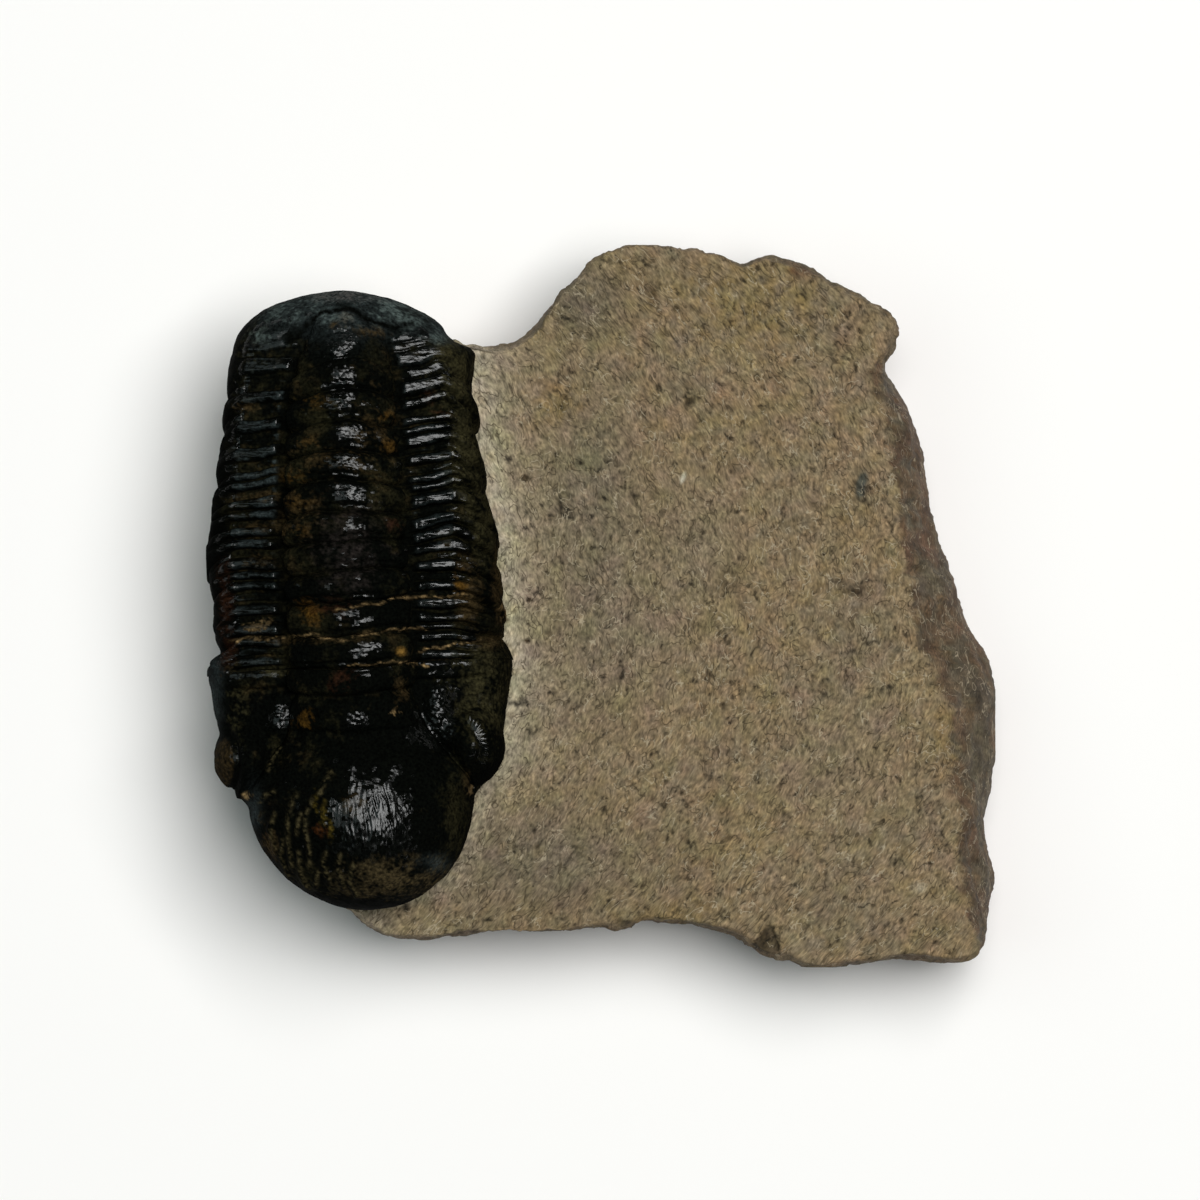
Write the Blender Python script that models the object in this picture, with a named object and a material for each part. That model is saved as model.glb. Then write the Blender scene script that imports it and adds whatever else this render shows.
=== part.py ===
"""A trilobite fossil lying along one edge of the piece of limestone that it was found in.

The view is from straight above, with the tail shield to the back (+Y) and the head to the front (-Y).
Plan shapes are outlines in PIXELS of a 1200 by 1200 view from above, x to the right and y to the front,
and one pixel is the trilobite's real length over its length in pixels. Heights are in metres.
The origin is under the middle of the whole piece, on the flat face that it rests on.
"""

import math

import bmesh
import bpy
import numpy as np
from mathutils import Vector, noise

MM = 0.001
TRILOBITE_LENGTH = 55.6 * MM
SLAB_THICKNESS = 16.0 * MM
SOCKET_GAP = 0.35 * MM  # between the trilobite and the socket that it sits in
SOCKET_DEPTH = 1.5 * MM
SOCKET_ROWS = 60
SOCKET_TAIL_INSET, SOCKET_HEAD_INSET = 8.0, 12.0  # in pixels, where the tips overhang the slab's top
UNDERSIDE = SOCKET_GAP - SOCKET_DEPTH  # the trilobite's underside, against the top of the slab
PAST_EDGE = 3.0 * MM  # how far the socket runs out past the trilobite's left side
ABOVE_TOP = 2.0 * MM  # how far the socket's cutter stands above the slab

TAIL_Y, HEAD_Y = 291.0, 909.0
PIXEL = TRILOBITE_LENGTH / (HEAD_Y - TAIL_Y)
PLAN_CENTRE = (602.9, 606.2)

# The trilobite's midline runs from the tail's tip to the front of the head, leaning slightly to the right.
MIDLINE_TAIL_X = 343.0
MIDLINE_LEAN = 0.0364
TAIL_ROUND_FROM = 345.0  # behind this the outline closes round the tail
HEAD_ROUND_FROM = 805.0  # in front of this the outline closes round the head
TAIL_ROUNDNESS = 0.66
HEAD_ROUNDNESS = 0.56
TAIL_TIP_HEIGHT = 2.4 * MM
HEAD_TIP_HEIGHT = 4.4 * MM
EDGE_HOLD = 1.4  # the edges keep their height nearer to the tips than the top does

# Columns of the body's mesh across each flank, each level side and the middle lobe.
FLANK_COLUMNS, SIDE_COLUMNS, AXIS_COLUMNS = 5, 4, 12
# Degrees turned at the furrow and at the bend when the whole section is one arch, as it is at the front.
FURROW_TURN, BEND_TURN = 66, 76
ARCHED_FROM, ARCHED_BY = 785.0, 806.0
SIDE_BULGE = 0.3 * MM  # the level sides are slightly domed between furrow and bend

# Plan distances from the midline, in pixels: (y, distance).
LEFT_EDGE = [
    (330, 110), (345, 111), (365, 115), (385, 117), (395, 117), (405, 122), (418, 122), (428, 120),
    (440, 126), (460, 130), (480, 129), (500, 136), (520, 138), (545, 144), (560, 144), (575, 140),
    (600, 136), (608, 136), (618, 139), (632, 137), (648, 133), (655, 138), (662, 146), (672, 148),
    (690, 146), (710, 144), (728, 140), (737, 138), (746, 142), (760, 145), (775, 143), (788, 134),
    (797, 122), (806, 113), (820, 112), (909, 112),
]
RIGHT_EDGE = [
    (291, 102), (325, 103), (335, 105), (340, 112), (346, 125), (360, 128), (375, 124), (388, 126),
    (400, 131), (410, 131), (421, 125), (430, 128), (440, 131), (460, 135), (480, 134), (492, 139),
    (510, 143), (530, 146), (550, 143), (565, 147), (590, 148), (605, 149), (620, 148), (633, 146),
    (641, 150), (650, 154), (690, 152), (715, 148), (735, 145), (750, 146), (765, 142), (778, 133),
    (786, 123), (795, 115), (806, 113), (909, 112),
]
# The axial furrows, between the raised middle lobe and the two side lobes.
LEFT_FURROW = [
    (291, 26), (330, 33), (346, 40), (374, 51), (403, 59), (432, 62), (460, 64), (500, 67), (540, 70),
    (580, 68), (620, 68), (665, 67), (700, 64), (716, 66), (735, 71), (755, 85), (775, 99), (790, 111),
    (800, 114), (909, 110),
]
RIGHT_FURROW = [
    (291, 26), (330, 36), (346, 43), (374, 49), (403, 52), (432, 52), (460, 54), (500, 57), (540, 58),
    (580, 60), (620, 60), (665, 60), (690, 56), (716, 62), (730, 70), (745, 81), (760, 95), (780, 110),
    (795, 113), (909, 110),
]
# Where each side lobe bends from nearly level to steep.
LEFT_BEND = [
    (291, 80), (346, 90), (374, 98), (403, 104), (432, 110), (460, 114), (489, 117), (545, 120),
    (601, 118), (632, 117), (665, 116), (735, 118), (765, 124), (785, 122), (800, 114), (909, 111),
]
RIGHT_BEND = [
    (291, 70), (346, 80), (374, 94), (403, 98), (432, 100), (460, 103), (545, 101), (601, 100),
    (665, 102), (735, 112), (765, 118), (785, 117), (800, 113), (909, 111),
]

# Heights above the slab's top, in millimetres: (y, height).
CREST = [
    (291, 7.2), (312, 7.9), (346, 9.3), (374, 10.3), (403, 11.1), (432, 11.7), (460, 12.1), (489, 12.4),
    (545, 12.8), (601, 12.7), (632, 12.4), (665, 12.0), (716, 11.6), (735, 11.3), (760, 12.3),
    (785, 13.0), (812, 13.3), (909, 13.3),
]
FURROW_FLOOR = [
    (291, 7.0), (346, 7.0), (403, 8.1), (460, 8.6), (545, 8.9), (632, 8.6), (690, 8.0), (735, 7.2),
    (765, 6.0), (785, 4.9), (800, 4.4), (909, 4.4),
]
BEND_HEIGHT = [
    (291, 6.2), (346, 6.4), (403, 7.3), (460, 7.8), (545, 8.0), (632, 7.7), (665, 7.3), (735, 6.6),
    (765, 5.6), (785, 4.6), (800, 4.2), (909, 4.2),
]
LEFT_EDGE_HEIGHT = [
    (291, 2.4), (346, 2.2), (403, 1.6), (632, 1.6), (700, 2.0), (735, 3.6), (760, 4.4), (790, 3.4),
    (806, 3.8), (909, 4.4),
]
RIGHT_EDGE_HEIGHT = [
    (291, 2.4), (346, 0.5), (403, 0.1), (632, 0.1), (700, 0.6), (735, 2.8), (755, 4.2), (780, 3.2),
    (795, 2.6), (806, 3.6), (909, 4.4),
]
LEFT_UNDERCUT = 1.4 * MM
RIGHT_UNDERCUT = 0.5 * MM

# The body's plates: the joints between the tail shield, the eleven body segments and the head shield.
JOINTS = [346, 374, 403, 432, 460, 489, 517, 545, 573, 601, 632, 665]
TAIL_RIBS = [(314, 0.25), (323, 0.35), (334, 0.5)]  # faint ribs of the tail shield: (y, strength)
RIB_PHASES = (0.0, 0.2, 0.5, 0.7, 0.9)  # rows of each segment, from its back edge forwards
SIDE_RELIEF = (-0.42, 0.22, -0.34, 0.26, 0.18)  # millimetres, at each of those rows
AXIS_RELIEF = (-0.42, 0.04, 0.22, 0.18, -0.02)
TIP_RELIEF = (-0.35, 0.10, 0.22, 0.15, -0.05)
HEAD_ROWS = (
    665, 672, 681, 690, 697, 706, 716, 726, 735, 748, 764,
    780, 793, 806, 822, 838, 853, 867, 880, 891, 900, 906,
)
TAIL_ROWS = (292.5, 296, 301, 307)
# Rows across the head where the middle lobe has rings and furrows: (y, relief in mm, half width in pixels).
HEAD_RINGS = [
    (665, -0.60, 70), (681, 0.30, 70), (697, -0.55, 70), (716, 0.30, 38), (735, -0.50, 52),
]
RING_WIDTH = 8.0
# The axial furrow is worn in beyond this share of the middle lobe.
FURROW_SHARE, FURROW_RELIEF = 0.93, -0.25 * MM

SEGMENT_SLOPE = -0.055  # the segments run slightly back towards the right
CREST_BOW = [(291, 0), (346, -12), (432, -12), (545, -4), (665, 4), (735, 4), (780, 0), (909, 0)]
TIP_SWEEP = [(291, 0), (340, 0), (374, 9), (632, 9), (690, 0), (909, 0)]

# Low domes on the cheeks: (x, y, radius across, radius along, height in mm).
DOMES = [
    (474, 744, 33, 42, 3.1), (246, 764, 33, 42, 3.1), (440, 716, 17, 36, 1.0), (282, 724, 17, 36, 1.0),
]
DOME_SOFTNESS = 1.2  # 1 is a plain dome, and more draws its foot out flat

# The slab's outline from above, clockwise from the notch beside the tail.
SLAB_START = [
    (447, 338), (470, 345), (497, 350), (515, 343), (530, 333), (545, 312), (562, 290), (580, 274),
    (600, 257), (615, 247), (632, 243), (655, 243), (680, 246), (705, 250), (722, 252), (733, 258),
    (742, 263), (750, 262), (758, 257), (768, 256), (785, 259), (805, 264), (820, 271), (832, 282),
    (842, 284), (850, 290), (862, 294), (875, 307), (888, 317), (894, 328), (892, 345), (887, 357),
]
SLAB_RIGHT = [
    (885, 366), (893, 373), (900, 382), (910, 400), (920, 425), (928, 448), (931, 470), (935, 490),
    (940, 515), (945, 540), (955, 560), (962, 580), (968, 600), (971, 620), (982, 643), (993, 662),
    (998, 678), (1004, 695), (1003, 708), (1000, 722), (1003, 745), (1003, 762), (1000, 785),
    (993, 805), (990, 822), (993, 845), (998, 870), (996, 895), (992, 925), (986, 946),
]
SLAB_END = [
    (978, 955), (962, 962), (940, 962), (900, 960), (880, 963), (860, 964), (835, 967), (815, 968),
    (800, 964), (785, 957), (768, 954), (755, 950), (745, 942), (733, 935), (712, 932), (690, 926),
    (665, 923), (645, 922), (630, 925), (600, 926), (585, 928), (570, 933), (555, 935), (520, 934),
    (490, 935), (455, 938), (420, 940), (395, 940), (378, 935), (362, 922), (345, 908), (325, 889),
    (297, 862), (275, 830), (268, 800), (250, 770), (245, 720), (241, 660), (238, 600), (230, 550),
    (235, 500), (240, 440), (245, 390), (252, 356), (276, 332), (310, 316), (345, 312), (385, 319),
    (420, 332),
]
# The worn top face ends short of the outline along the right, above a slope of dark weathered rock.
TOP_RIGHT = [
    (878, 370), (869, 378), (878, 396), (890, 412), (895, 446), (900, 480), (905, 510), (909, 540),
    (912, 570), (916, 600), (921, 630), (930, 660), (941, 685), (952, 710), (957, 735), (953, 762),
    (948, 788), (960, 806), (968, 820), (964, 842), (960, 866), (963, 890), (966, 908), (973, 926),
    (981, 941),
]
SLAB_MIDDLE = (690.0, 620.0)
SIDE_RIGHT_POINTS = 30
# Rings up the slab's side: (height as a share of the thickness, inset in mm, share of the way out to the right side).
SIDE_RINGS = [
    (0.0, 2.4, 1.0), (0.14, 1.2, 1.0), (0.42, 0.2, 1.0), (0.62, 0.0, 0.8), (0.82, 0.1, 0.42),
    (0.95, 0.1, 0.12),
]
TOP_EDGE_INSET = 0.45 * MM
TOP_RINGS = (0.93, 0.8, 0.64, 0.47, 0.3, 0.14)
SIDE_ROUGHNESS = 1.1 * MM
SIDE_FEATURE, SIDE_SEED = 7 * MM, 1.3
TOP_EDGE_SMOOTHNESS = 0.35  # the ring under the top's edge has only this share of the sides' roughness
TOP_ROUGHNESS = 0.22 * MM
TOP_FEATURE, TOP_SEED = 14 * MM, 3.7
WORKED_DIP = 0.5 * MM  # the top face is worked lower beside the trilobite
WORKED_DIP_REACH = 15 * MM
WORKED_BESIDE = (495.0, 600.0)


def through(points, at):
    """Values at positions `at` of a smooth curve through the (position, value) points."""
    place, value = np.array(points, float).T
    slope = np.gradient(value, place)
    at = np.clip(np.asarray(at, float), place[0], place[-1])
    i = np.clip(np.searchsorted(place, at) - 1, 0, len(place) - 2)
    span = place[i + 1] - place[i]
    t = (at - place[i]) / span
    near = (1 + 2 * t) * (1 - t) ** 2 * value[i] + t * (1 - t) ** 2 * span * slope[i]
    far = t**2 * (3 - 2 * t) * value[i + 1] - t**2 * (1 - t) * span * slope[i + 1]
    return near + far


def ease(start, end, at):
    """0 before start, 1 after end, and smooth between them."""
    t = np.clip((np.asarray(at, float) - start) / (end - start), 0, 1)
    return t * t * (3 - 2 * t)


def world(x, y):
    """Metres in the part's frame from pixels of the plan."""
    return (x - PLAN_CENTRE[0]) * PIXEL, (PLAN_CENTRE[1] - y) * PIXEL


def midline(y):
    return MIDLINE_TAIL_X + MIDLINE_LEAN * (np.asarray(y, float) - TAIL_Y)


def towards_tips(y):
    """How far y is into the rounded tail and into the rounded head, each from 0 to 1."""
    tail = np.clip((TAIL_ROUND_FROM - y) / (TAIL_ROUND_FROM - TAIL_Y), 0, 1)
    head = np.clip((y - HEAD_ROUND_FROM) / (HEAD_Y - HEAD_ROUND_FROM), 0, 1)
    return tail, head


def end_rounding(y):
    """How wide the body is at y, from 0 at the tips of tail and head to 1 between them."""
    tail, head = towards_tips(y)
    return (1 - tail**2) ** TAIL_ROUNDNESS * (1 - head**2) ** HEAD_ROUNDNESS


def tip_height(y):
    """Height of the tip that the body closes to at this end."""
    return np.where(np.asarray(y) < 600, TAIL_TIP_HEIGHT, HEAD_TIP_HEIGHT)


def rounded_height(points, y):
    """A height in metres from a list in millimetres, brought down to the tips at the ends."""
    tip = tip_height(y)
    return tip + (through(points, y) * MM - tip) * end_rounding(y)


def bow(across, y, furrow):
    """How far a row at y is carried forwards, in pixels, at `across` pixels from the midline."""
    lean = SEGMENT_SLOPE * ease(300, 350, y) * (1 - ease(690, 790, y)) * across
    crest = through(CREST_BOW, y) * np.clip(1 - (across / furrow) ** 2, 0, 1)
    return lean + crest


def columns():
    """Places across the body's top from the left edge to the right: (zone, share of the zone, hand)."""
    flank = [("flank", i / FLANK_COLUMNS) for i in range(FLANK_COLUMNS + 1)]
    side = [("side", i / SIDE_COLUMNS) for i in range(SIDE_COLUMNS)]
    left = [(zone, share, -1) for zone, share in flank[:0:-1]] + [("flank", 0.0, -1)]
    left += [(zone, share, -1) for zone, share in side[::-1]]
    middle = [("axis", -1 + 2 * i / AXIS_COLUMNS, 0) for i in range(1, AXIS_COLUMNS)]
    right = [(zone, share, 1) for zone, share in side + flank]
    return left + middle + right


def section(y, places):
    """Across-body places (pixels from the midline) and heights (metres) of one row's top, and its sweep."""
    rounding = float(end_rounding(y))
    tip = float(tip_height(y))
    crest, floor, bend = (float(rounded_height(h, y)) for h in (CREST, FURROW_FLOOR, BEND_HEIGHT))
    arched = float(ease(ARCHED_FROM, ARCHED_BY, y))
    across, height, furrows, sweep = [], [], [], []
    for zone, share, hand in places:
        hand = hand or (1 if share > 0 else -1)
        edge_list, furrow_list, bend_list, edge_height_list = (
            (RIGHT_EDGE, RIGHT_FURROW, RIGHT_BEND, RIGHT_EDGE_HEIGHT)
            if hand > 0
            else (LEFT_EDGE, LEFT_FURROW, LEFT_BEND, LEFT_EDGE_HEIGHT)
        )
        edge_y = y + float(bow(hand * float(through(edge_list, y)), y, 1.0))
        edge = float(through(edge_list, edge_y)) * rounding
        furrow = min(float(through(furrow_list, y)) * rounding, edge)
        bend_at = min(float(through(bend_list, y)) * rounding, edge)
        edge_height = tip + (float(through(edge_height_list, y)) * MM - tip) * min(1.0, EDGE_HOLD * rounding)
        if zone == "axis":
            angle = abs(share) * math.pi / 2
            out = furrow * math.sin(angle)
            up = floor + (crest - floor) * math.cos(angle)
            turn = FURROW_TURN * abs(share)
        elif zone == "side":
            out = furrow + (bend_at - furrow) * share
            up = floor + (bend - floor) * share + SIDE_BULGE * rounding * 4 * share * (1 - share)
            turn = FURROW_TURN + (BEND_TURN - FURROW_TURN) * share
        else:
            angle = share * math.pi / 2
            out = bend_at + (edge - bend_at) * math.sin(angle)
            up = edge_height + (bend - edge_height) * math.cos(angle)
            turn = BEND_TURN + (90 - BEND_TURN) * share
        # In front of the cheeks the whole row is one arch, from edge to edge.
        arch_out = edge * math.sin(math.radians(turn))
        arch_up = edge_height + (crest - edge_height) * math.cos(math.radians(turn))
        across.append(hand * (out + (arch_out - out) * arched))
        height.append(up + (arch_up - up) * arched)
        furrows.append(max(furrow, 1.0))
        sweep.append(float(through(TIP_SWEEP, y)) * (share**2 if zone == "flank" else 0.0))
    return np.array(across), np.array(height), np.array(furrows), np.array(sweep)


def relief(y, kind, places, across):
    """Height of the plates' ridges and furrows over the plain body, in metres, along one row."""
    weight = {"axis": AXIS_RELIEF, "side": SIDE_RELIEF, "flank": TIP_RELIEF}
    out = np.zeros(len(places))
    for i, (zone, share, _) in enumerate(places):
        if kind is not None:
            row, strength = kind
            out[i] = weight[zone][row] * strength * MM
            if zone == "axis" and abs(share) > FURROW_SHARE:
                out[i] = FURROW_RELIEF * strength
        elif zone == "axis" and y > JOINTS[-1] - 1:
            for ring_y, depth, half_width in HEAD_RINGS:
                near = math.exp(-(((y - ring_y) / RING_WIDTH) ** 2))
                out[i] += depth * MM * near * (1 - float(ease(half_width * 0.8, half_width, abs(across[i]))))
    return out


def dome_height(x, y):
    """Height that the eyes and the lobes beside them add, in metres."""
    total = np.zeros_like(x)
    for centre_x, centre_y, radius_x, radius_y, height in DOMES:
        away = ((x - centre_x) / radius_x) ** 2 + ((y - centre_y) / radius_y) ** 2
        total += height * MM * np.clip(1 - away, 0, 1) ** DOME_SOFTNESS
    return total


def underside(y):
    """Height of the body's underside, which rises to meet the tips of tail and head."""
    tail, head = towards_tips(y)
    fullness = math.sqrt((1 - tail**4) * (1 - head**6))
    tip = float(tip_height(y))
    return tip - (tip - UNDERSIDE) * fullness


def body_rows():
    """The rows from tail to head: (y, None), or (y, (row of the rib, strength)) where a rib is."""
    rows = [(y, None) for y in TAIL_ROWS]
    edges = [y for y, _ in TAIL_RIBS] + JOINTS
    strengths = [strength for _, strength in TAIL_RIBS] + [1.0] * len(JOINTS)
    for back, front, strength in zip(edges, edges[1:], strengths):
        phases = (0, 2) if back < JOINTS[0] else range(len(RIB_PHASES))
        rows += [(back + (front - back) * RIB_PHASES[k], (k, strength)) for k in phases]
    return rows + [(y, None) for y in HEAD_ROWS]


def body_loop(y, kind, places):
    """Points of one closed loop round the body: the top from left to right, then the underside back."""
    across, height, furrows, sweep = section(y, places)
    x = midline(y) + across
    forwards = y + bow(across, y, furrows) + sweep * float(end_rounding(y))
    height = height + dome_height(x, forwards)
    step_x, step_z = np.gradient(x * PIXEL), np.gradient(height)
    length = np.maximum(np.hypot(step_x, step_z), 1e-9)
    lift = relief(y, kind, places, across)
    lift[0] = lift[-1] = 0.0
    top_x, top_y = world(x, forwards)
    top_x = top_x - step_z / length * lift
    top_z = height + step_x / length * lift
    points = [(float(a), float(b), float(c)) for a, b, c in zip(top_x, top_y, top_z)]
    rounding = float(end_rounding(y))
    low = underside(y)
    right, left = points[-1], points[0]
    right_in, left_in = RIGHT_UNDERCUT * rounding, -LEFT_UNDERCUT * rounding

    def wall(corner, inwards, turn):
        angle = math.radians(turn)
        x = corner[0] - inwards * (1 - math.cos(angle))
        return (x, corner[1], corner[2] - (corner[2] - low) * math.sin(angle))

    start, end = wall(right, right_in, 90), wall(left, left_in, 90)
    between = [tuple(a + (b - a) * n / 3 for a, b in zip(start, end)) for n in (1, 2)]
    return [*points, wall(right, right_in, 45), start, *between, end, wall(left, left_in, 45)]


def lift_to_slab(points):
    return [(x, y, z + SLAB_THICKNESS) for x, y, z in points]


def loft(name, loops, start, end):
    """A closed mesh through the loops, drawn together to a point at each end."""
    shell = bmesh.new()
    rings = [[shell.verts.new(p) for p in loop] for loop in loops]
    count = len(rings[0])
    for ring, following in zip(rings, rings[1:]):
        for i in range(count):
            j = (i + 1) % count
            shell.faces.new((ring[i], ring[j], following[j], following[i]))
    for ring, tip in ((rings[0], start), (rings[-1], end)):
        point = shell.verts.new(tip)
        for i in range(count):
            shell.faces.new((ring[i], ring[(i + 1) % count], point))
    bmesh.ops.triangulate(shell, faces=shell.faces)
    bmesh.ops.recalc_face_normals(shell, faces=shell.faces)
    mesh = bpy.data.meshes.new(name)
    shell.to_mesh(mesh)
    shell.free()
    return bpy.data.objects.new(name, mesh)


def make_trilobite():
    places = columns()
    loops = [lift_to_slab(body_loop(y, kind, places)) for y, kind in body_rows()]
    tips = []
    for y in (TAIL_Y, HEAD_Y):
        x, forwards = world(float(midline(y)), y)
        tips.append((x, forwards, float(tip_height(y)) + SLAB_THICKNESS))
    return loft("trilobite", loops, *tips)


def resampled(points, count):
    """Evenly spaced places along an open line of plan points, both ends included."""
    points = np.array(points, float)
    along = np.concatenate([[0], np.cumsum(np.hypot(*np.diff(points, axis=0).T))])
    places = np.linspace(0, along[-1], count)
    return np.stack([np.interp(places, along, points[:, i]) for i in (0, 1)], axis=1)


def inset(points, distance):
    """Each point of a closed clockwise outline moved inwards by a distance, in pixels."""
    ahead, behind = np.roll(points, -1, axis=0), np.roll(points, 1, axis=0)
    along = ahead - behind
    along /= np.maximum(np.hypot(*along.T), 1e-9)[:, None]
    inwards = np.stack([-along[:, 1], along[:, 0]], axis=1)
    return points + inwards * distance


def rough(x, y, z, scale, seed):
    """Smooth noise between about -1 and 1 at a place in metres, with features of size scale."""
    place = Vector((x, y, z)) / scale + Vector((seed, -seed, 2 * seed))
    return noise.noise(place) + 0.5 * noise.noise(place * 2.1)


def top_height(x, y):
    """Height of the slab's top face at a place in metres."""
    beside = world(*WORKED_BESIDE)[0]
    dip = WORKED_DIP * math.exp(-(((x - beside) / WORKED_DIP_REACH) ** 2))
    return SLAB_THICKNESS - dip + TOP_ROUGHNESS * rough(x, y, 0.0, TOP_FEATURE, TOP_SEED)


def slab_outlines():
    """The slab's outline and the edge of its top face, with matching points, in pixels."""
    right_out = resampled(SLAB_RIGHT, SIDE_RIGHT_POINTS)
    right_top = resampled(TOP_RIGHT, SIDE_RIGHT_POINTS)
    start, end = np.array(SLAB_START, float), np.array(SLAB_END, float)
    return np.concatenate([start, right_out, end]), np.concatenate([start, right_top, end])


def make_slab():
    outline, top_edge = slab_outlines()
    rings = []
    for share, inset_mm, outwards in SIDE_RINGS:
        plan = top_edge + (outline - top_edge) * outwards
        plan = inset(plan, inset_mm * MM / PIXEL)
        height = share * SLAB_THICKNESS
        depth = SIDE_ROUGHNESS * (TOP_EDGE_SMOOTHNESS if share == SIDE_RINGS[-1][0] else 1.0) / PIXEL
        hollows = [depth * abs(rough(*world(x, y), height, SIDE_FEATURE, SIDE_SEED)) for x, y in plan]
        rings.append([(*world(x, y), height) for x, y in inset(plan, np.array(hollows)[:, None])])
    edge = inset(top_edge, TOP_EDGE_INSET / PIXEL)
    for scale in (1.0, *TOP_RINGS):
        plan = SLAB_MIDDLE + (edge - SLAB_MIDDLE) * scale
        rings.append([(*world(x, y), top_height(*world(x, y))) for x, y in plan])
    middle = world(*SLAB_MIDDLE)
    return loft("matrix", rings, (*middle, 0.0), (*middle, top_height(*middle)))


def contact_line():
    """Where the trilobite's two walls pass through the slab's top, in metres: (left, right) for each row."""
    places = columns()
    top = len(places)
    found = []
    for y in np.linspace(TAIL_Y + SOCKET_TAIL_INSET, HEAD_Y - SOCKET_HEAD_INSET, SOCKET_ROWS):
        points = body_loop(float(y), None, places)
        walls = (points[-2], points[-1], points[0]), (points[top + 1], points[top], points[top - 1])
        row = []
        for wall in walls:
            x = np.interp(0.0, [point[2] for point in wall], [point[0] for point in wall])
            row.append((float(x), wall[0][1]))
        found.append(row)
    return found


def make_socket():
    """The cutter for the trilobite's seat, which follows its foot on the right and runs out on the left."""
    rows = contact_line()
    left = [(point[0] - PAST_EDGE, point[1]) for point, _ in rows]
    right = [(point[0] + SOCKET_GAP, point[1]) for _, point in rows]
    back = (right[0][0], right[0][1] + SOCKET_GAP)
    front = (right[-1][0], right[-1][1] - SOCKET_GAP)
    outline = [*left[::-1], (left[0][0], back[1]), back, *right, front, (left[-1][0], front[1])]
    depth = SOCKET_DEPTH + ABOVE_TOP
    curve = bpy.data.curves.new("socket", "CURVE")
    curve.dimensions = "2D"
    curve.fill_mode = "BOTH"
    curve.extrude = depth / 2
    spline = curve.splines.new("POLY")
    spline.points.add(len(outline) - 1)
    for point, (x, y) in zip(spline.points, outline):
        point.co = (x, y, 0.0, 1.0)
    spline.use_cyclic_u = True
    drawn = bpy.data.objects.new("socket_outline", curve)
    bpy.context.scene.collection.objects.link(drawn)
    drawn.location.z = SLAB_THICKNESS - SOCKET_DEPTH + depth / 2
    bpy.context.view_layer.update()
    evaluated = drawn.evaluated_get(bpy.context.evaluated_depsgraph_get())
    mesh = bpy.data.meshes.new_from_object(evaluated)
    cutter = bpy.data.objects.new("socket", mesh)
    cutter.matrix_world = drawn.matrix_world.copy()
    welded = bmesh.new()
    welded.from_mesh(mesh)
    bmesh.ops.remove_doubles(welded, verts=welded.verts, dist=0.00001)
    bmesh.ops.recalc_face_normals(welded, faces=welded.faces)
    welded.to_mesh(mesh)
    welded.free()
    bpy.data.objects.remove(drawn)
    return cutter


def stone(name, colour, roughness):
    material = bpy.data.materials.new(name)
    material.use_nodes = True
    shader = material.node_tree.nodes["Principled BSDF"]
    shader.inputs["Base Color"].default_value = (*colour, 1.0)
    shader.inputs["Roughness"].default_value = roughness
    shader.inputs["Metallic"].default_value = 0.0
    return material


def collection(name):
    made = bpy.data.collections.new(name)
    bpy.context.scene.collection.children.link(made)
    return made


def main():
    for old in list(bpy.data.objects):
        bpy.data.objects.remove(old)
    parts, cutters = collection("trilobite_fossil"), collection("cutters")

    trilobite = make_trilobite()
    trilobite.data.materials.append(stone("calcite", (0.022, 0.021, 0.018), 0.25))
    slab = make_slab()
    slab.data.materials.append(stone("limestone", (0.27, 0.21, 0.14), 0.9))
    for piece in (trilobite, slab):
        parts.objects.link(piece)
        piece.data.shade_smooth()
        piece.data.set_sharp_from_angle(angle=math.radians(38))

    socket = make_socket()
    socket.hide_render = True
    socket.display_type = "WIRE"
    cutters.objects.link(socket)
    cut = slab.modifiers.new("socket", "BOOLEAN")
    cut.operation = "DIFFERENCE"
    cut.solver = "EXACT"
    cut.object = socket


main()
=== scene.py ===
"""The looks of the trilobite fossil: its shell and its stone as fine meshes, with their materials.

Plan places are PIXELS of a 1200 by 1200 view from straight above, as in the part's own source, and the
values that both share are written here again. Heights are in metres unless a name or comment says otherwise.
"""

import math

import bpy
import numpy as np
from mathutils import Matrix, Vector, geometry

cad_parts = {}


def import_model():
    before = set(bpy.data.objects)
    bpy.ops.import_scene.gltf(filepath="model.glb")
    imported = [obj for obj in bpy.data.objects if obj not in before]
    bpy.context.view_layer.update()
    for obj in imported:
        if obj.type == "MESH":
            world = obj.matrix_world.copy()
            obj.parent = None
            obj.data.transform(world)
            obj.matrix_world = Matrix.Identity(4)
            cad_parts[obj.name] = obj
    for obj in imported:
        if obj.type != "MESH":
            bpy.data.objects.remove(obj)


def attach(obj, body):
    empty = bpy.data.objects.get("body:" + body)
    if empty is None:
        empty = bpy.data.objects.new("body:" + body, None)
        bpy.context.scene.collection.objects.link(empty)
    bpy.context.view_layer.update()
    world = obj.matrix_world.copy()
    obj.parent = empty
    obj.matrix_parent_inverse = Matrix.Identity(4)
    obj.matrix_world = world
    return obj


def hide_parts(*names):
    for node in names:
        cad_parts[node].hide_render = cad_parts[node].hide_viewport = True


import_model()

MM = 0.001
TRILOBITE_LENGTH = 55.6 * MM
SLAB_THICKNESS = 16.0 * MM
UNDERSIDE = -1.15 * MM
TAIL_Y, HEAD_Y = 291.0, 909.0
PIXEL = TRILOBITE_LENGTH / (HEAD_Y - TAIL_Y)
PLAN_CENTRE = (602.9, 606.2)
PICTURE_SIZE = 1200
# The box of the solid part, which the fine meshes stay inside.
BOX_LOW = np.array([-35.57, -32.53, 0.0]) * MM
BOX_HIGH = np.array([35.56, 32.54, 29.25]) * MM

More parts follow.
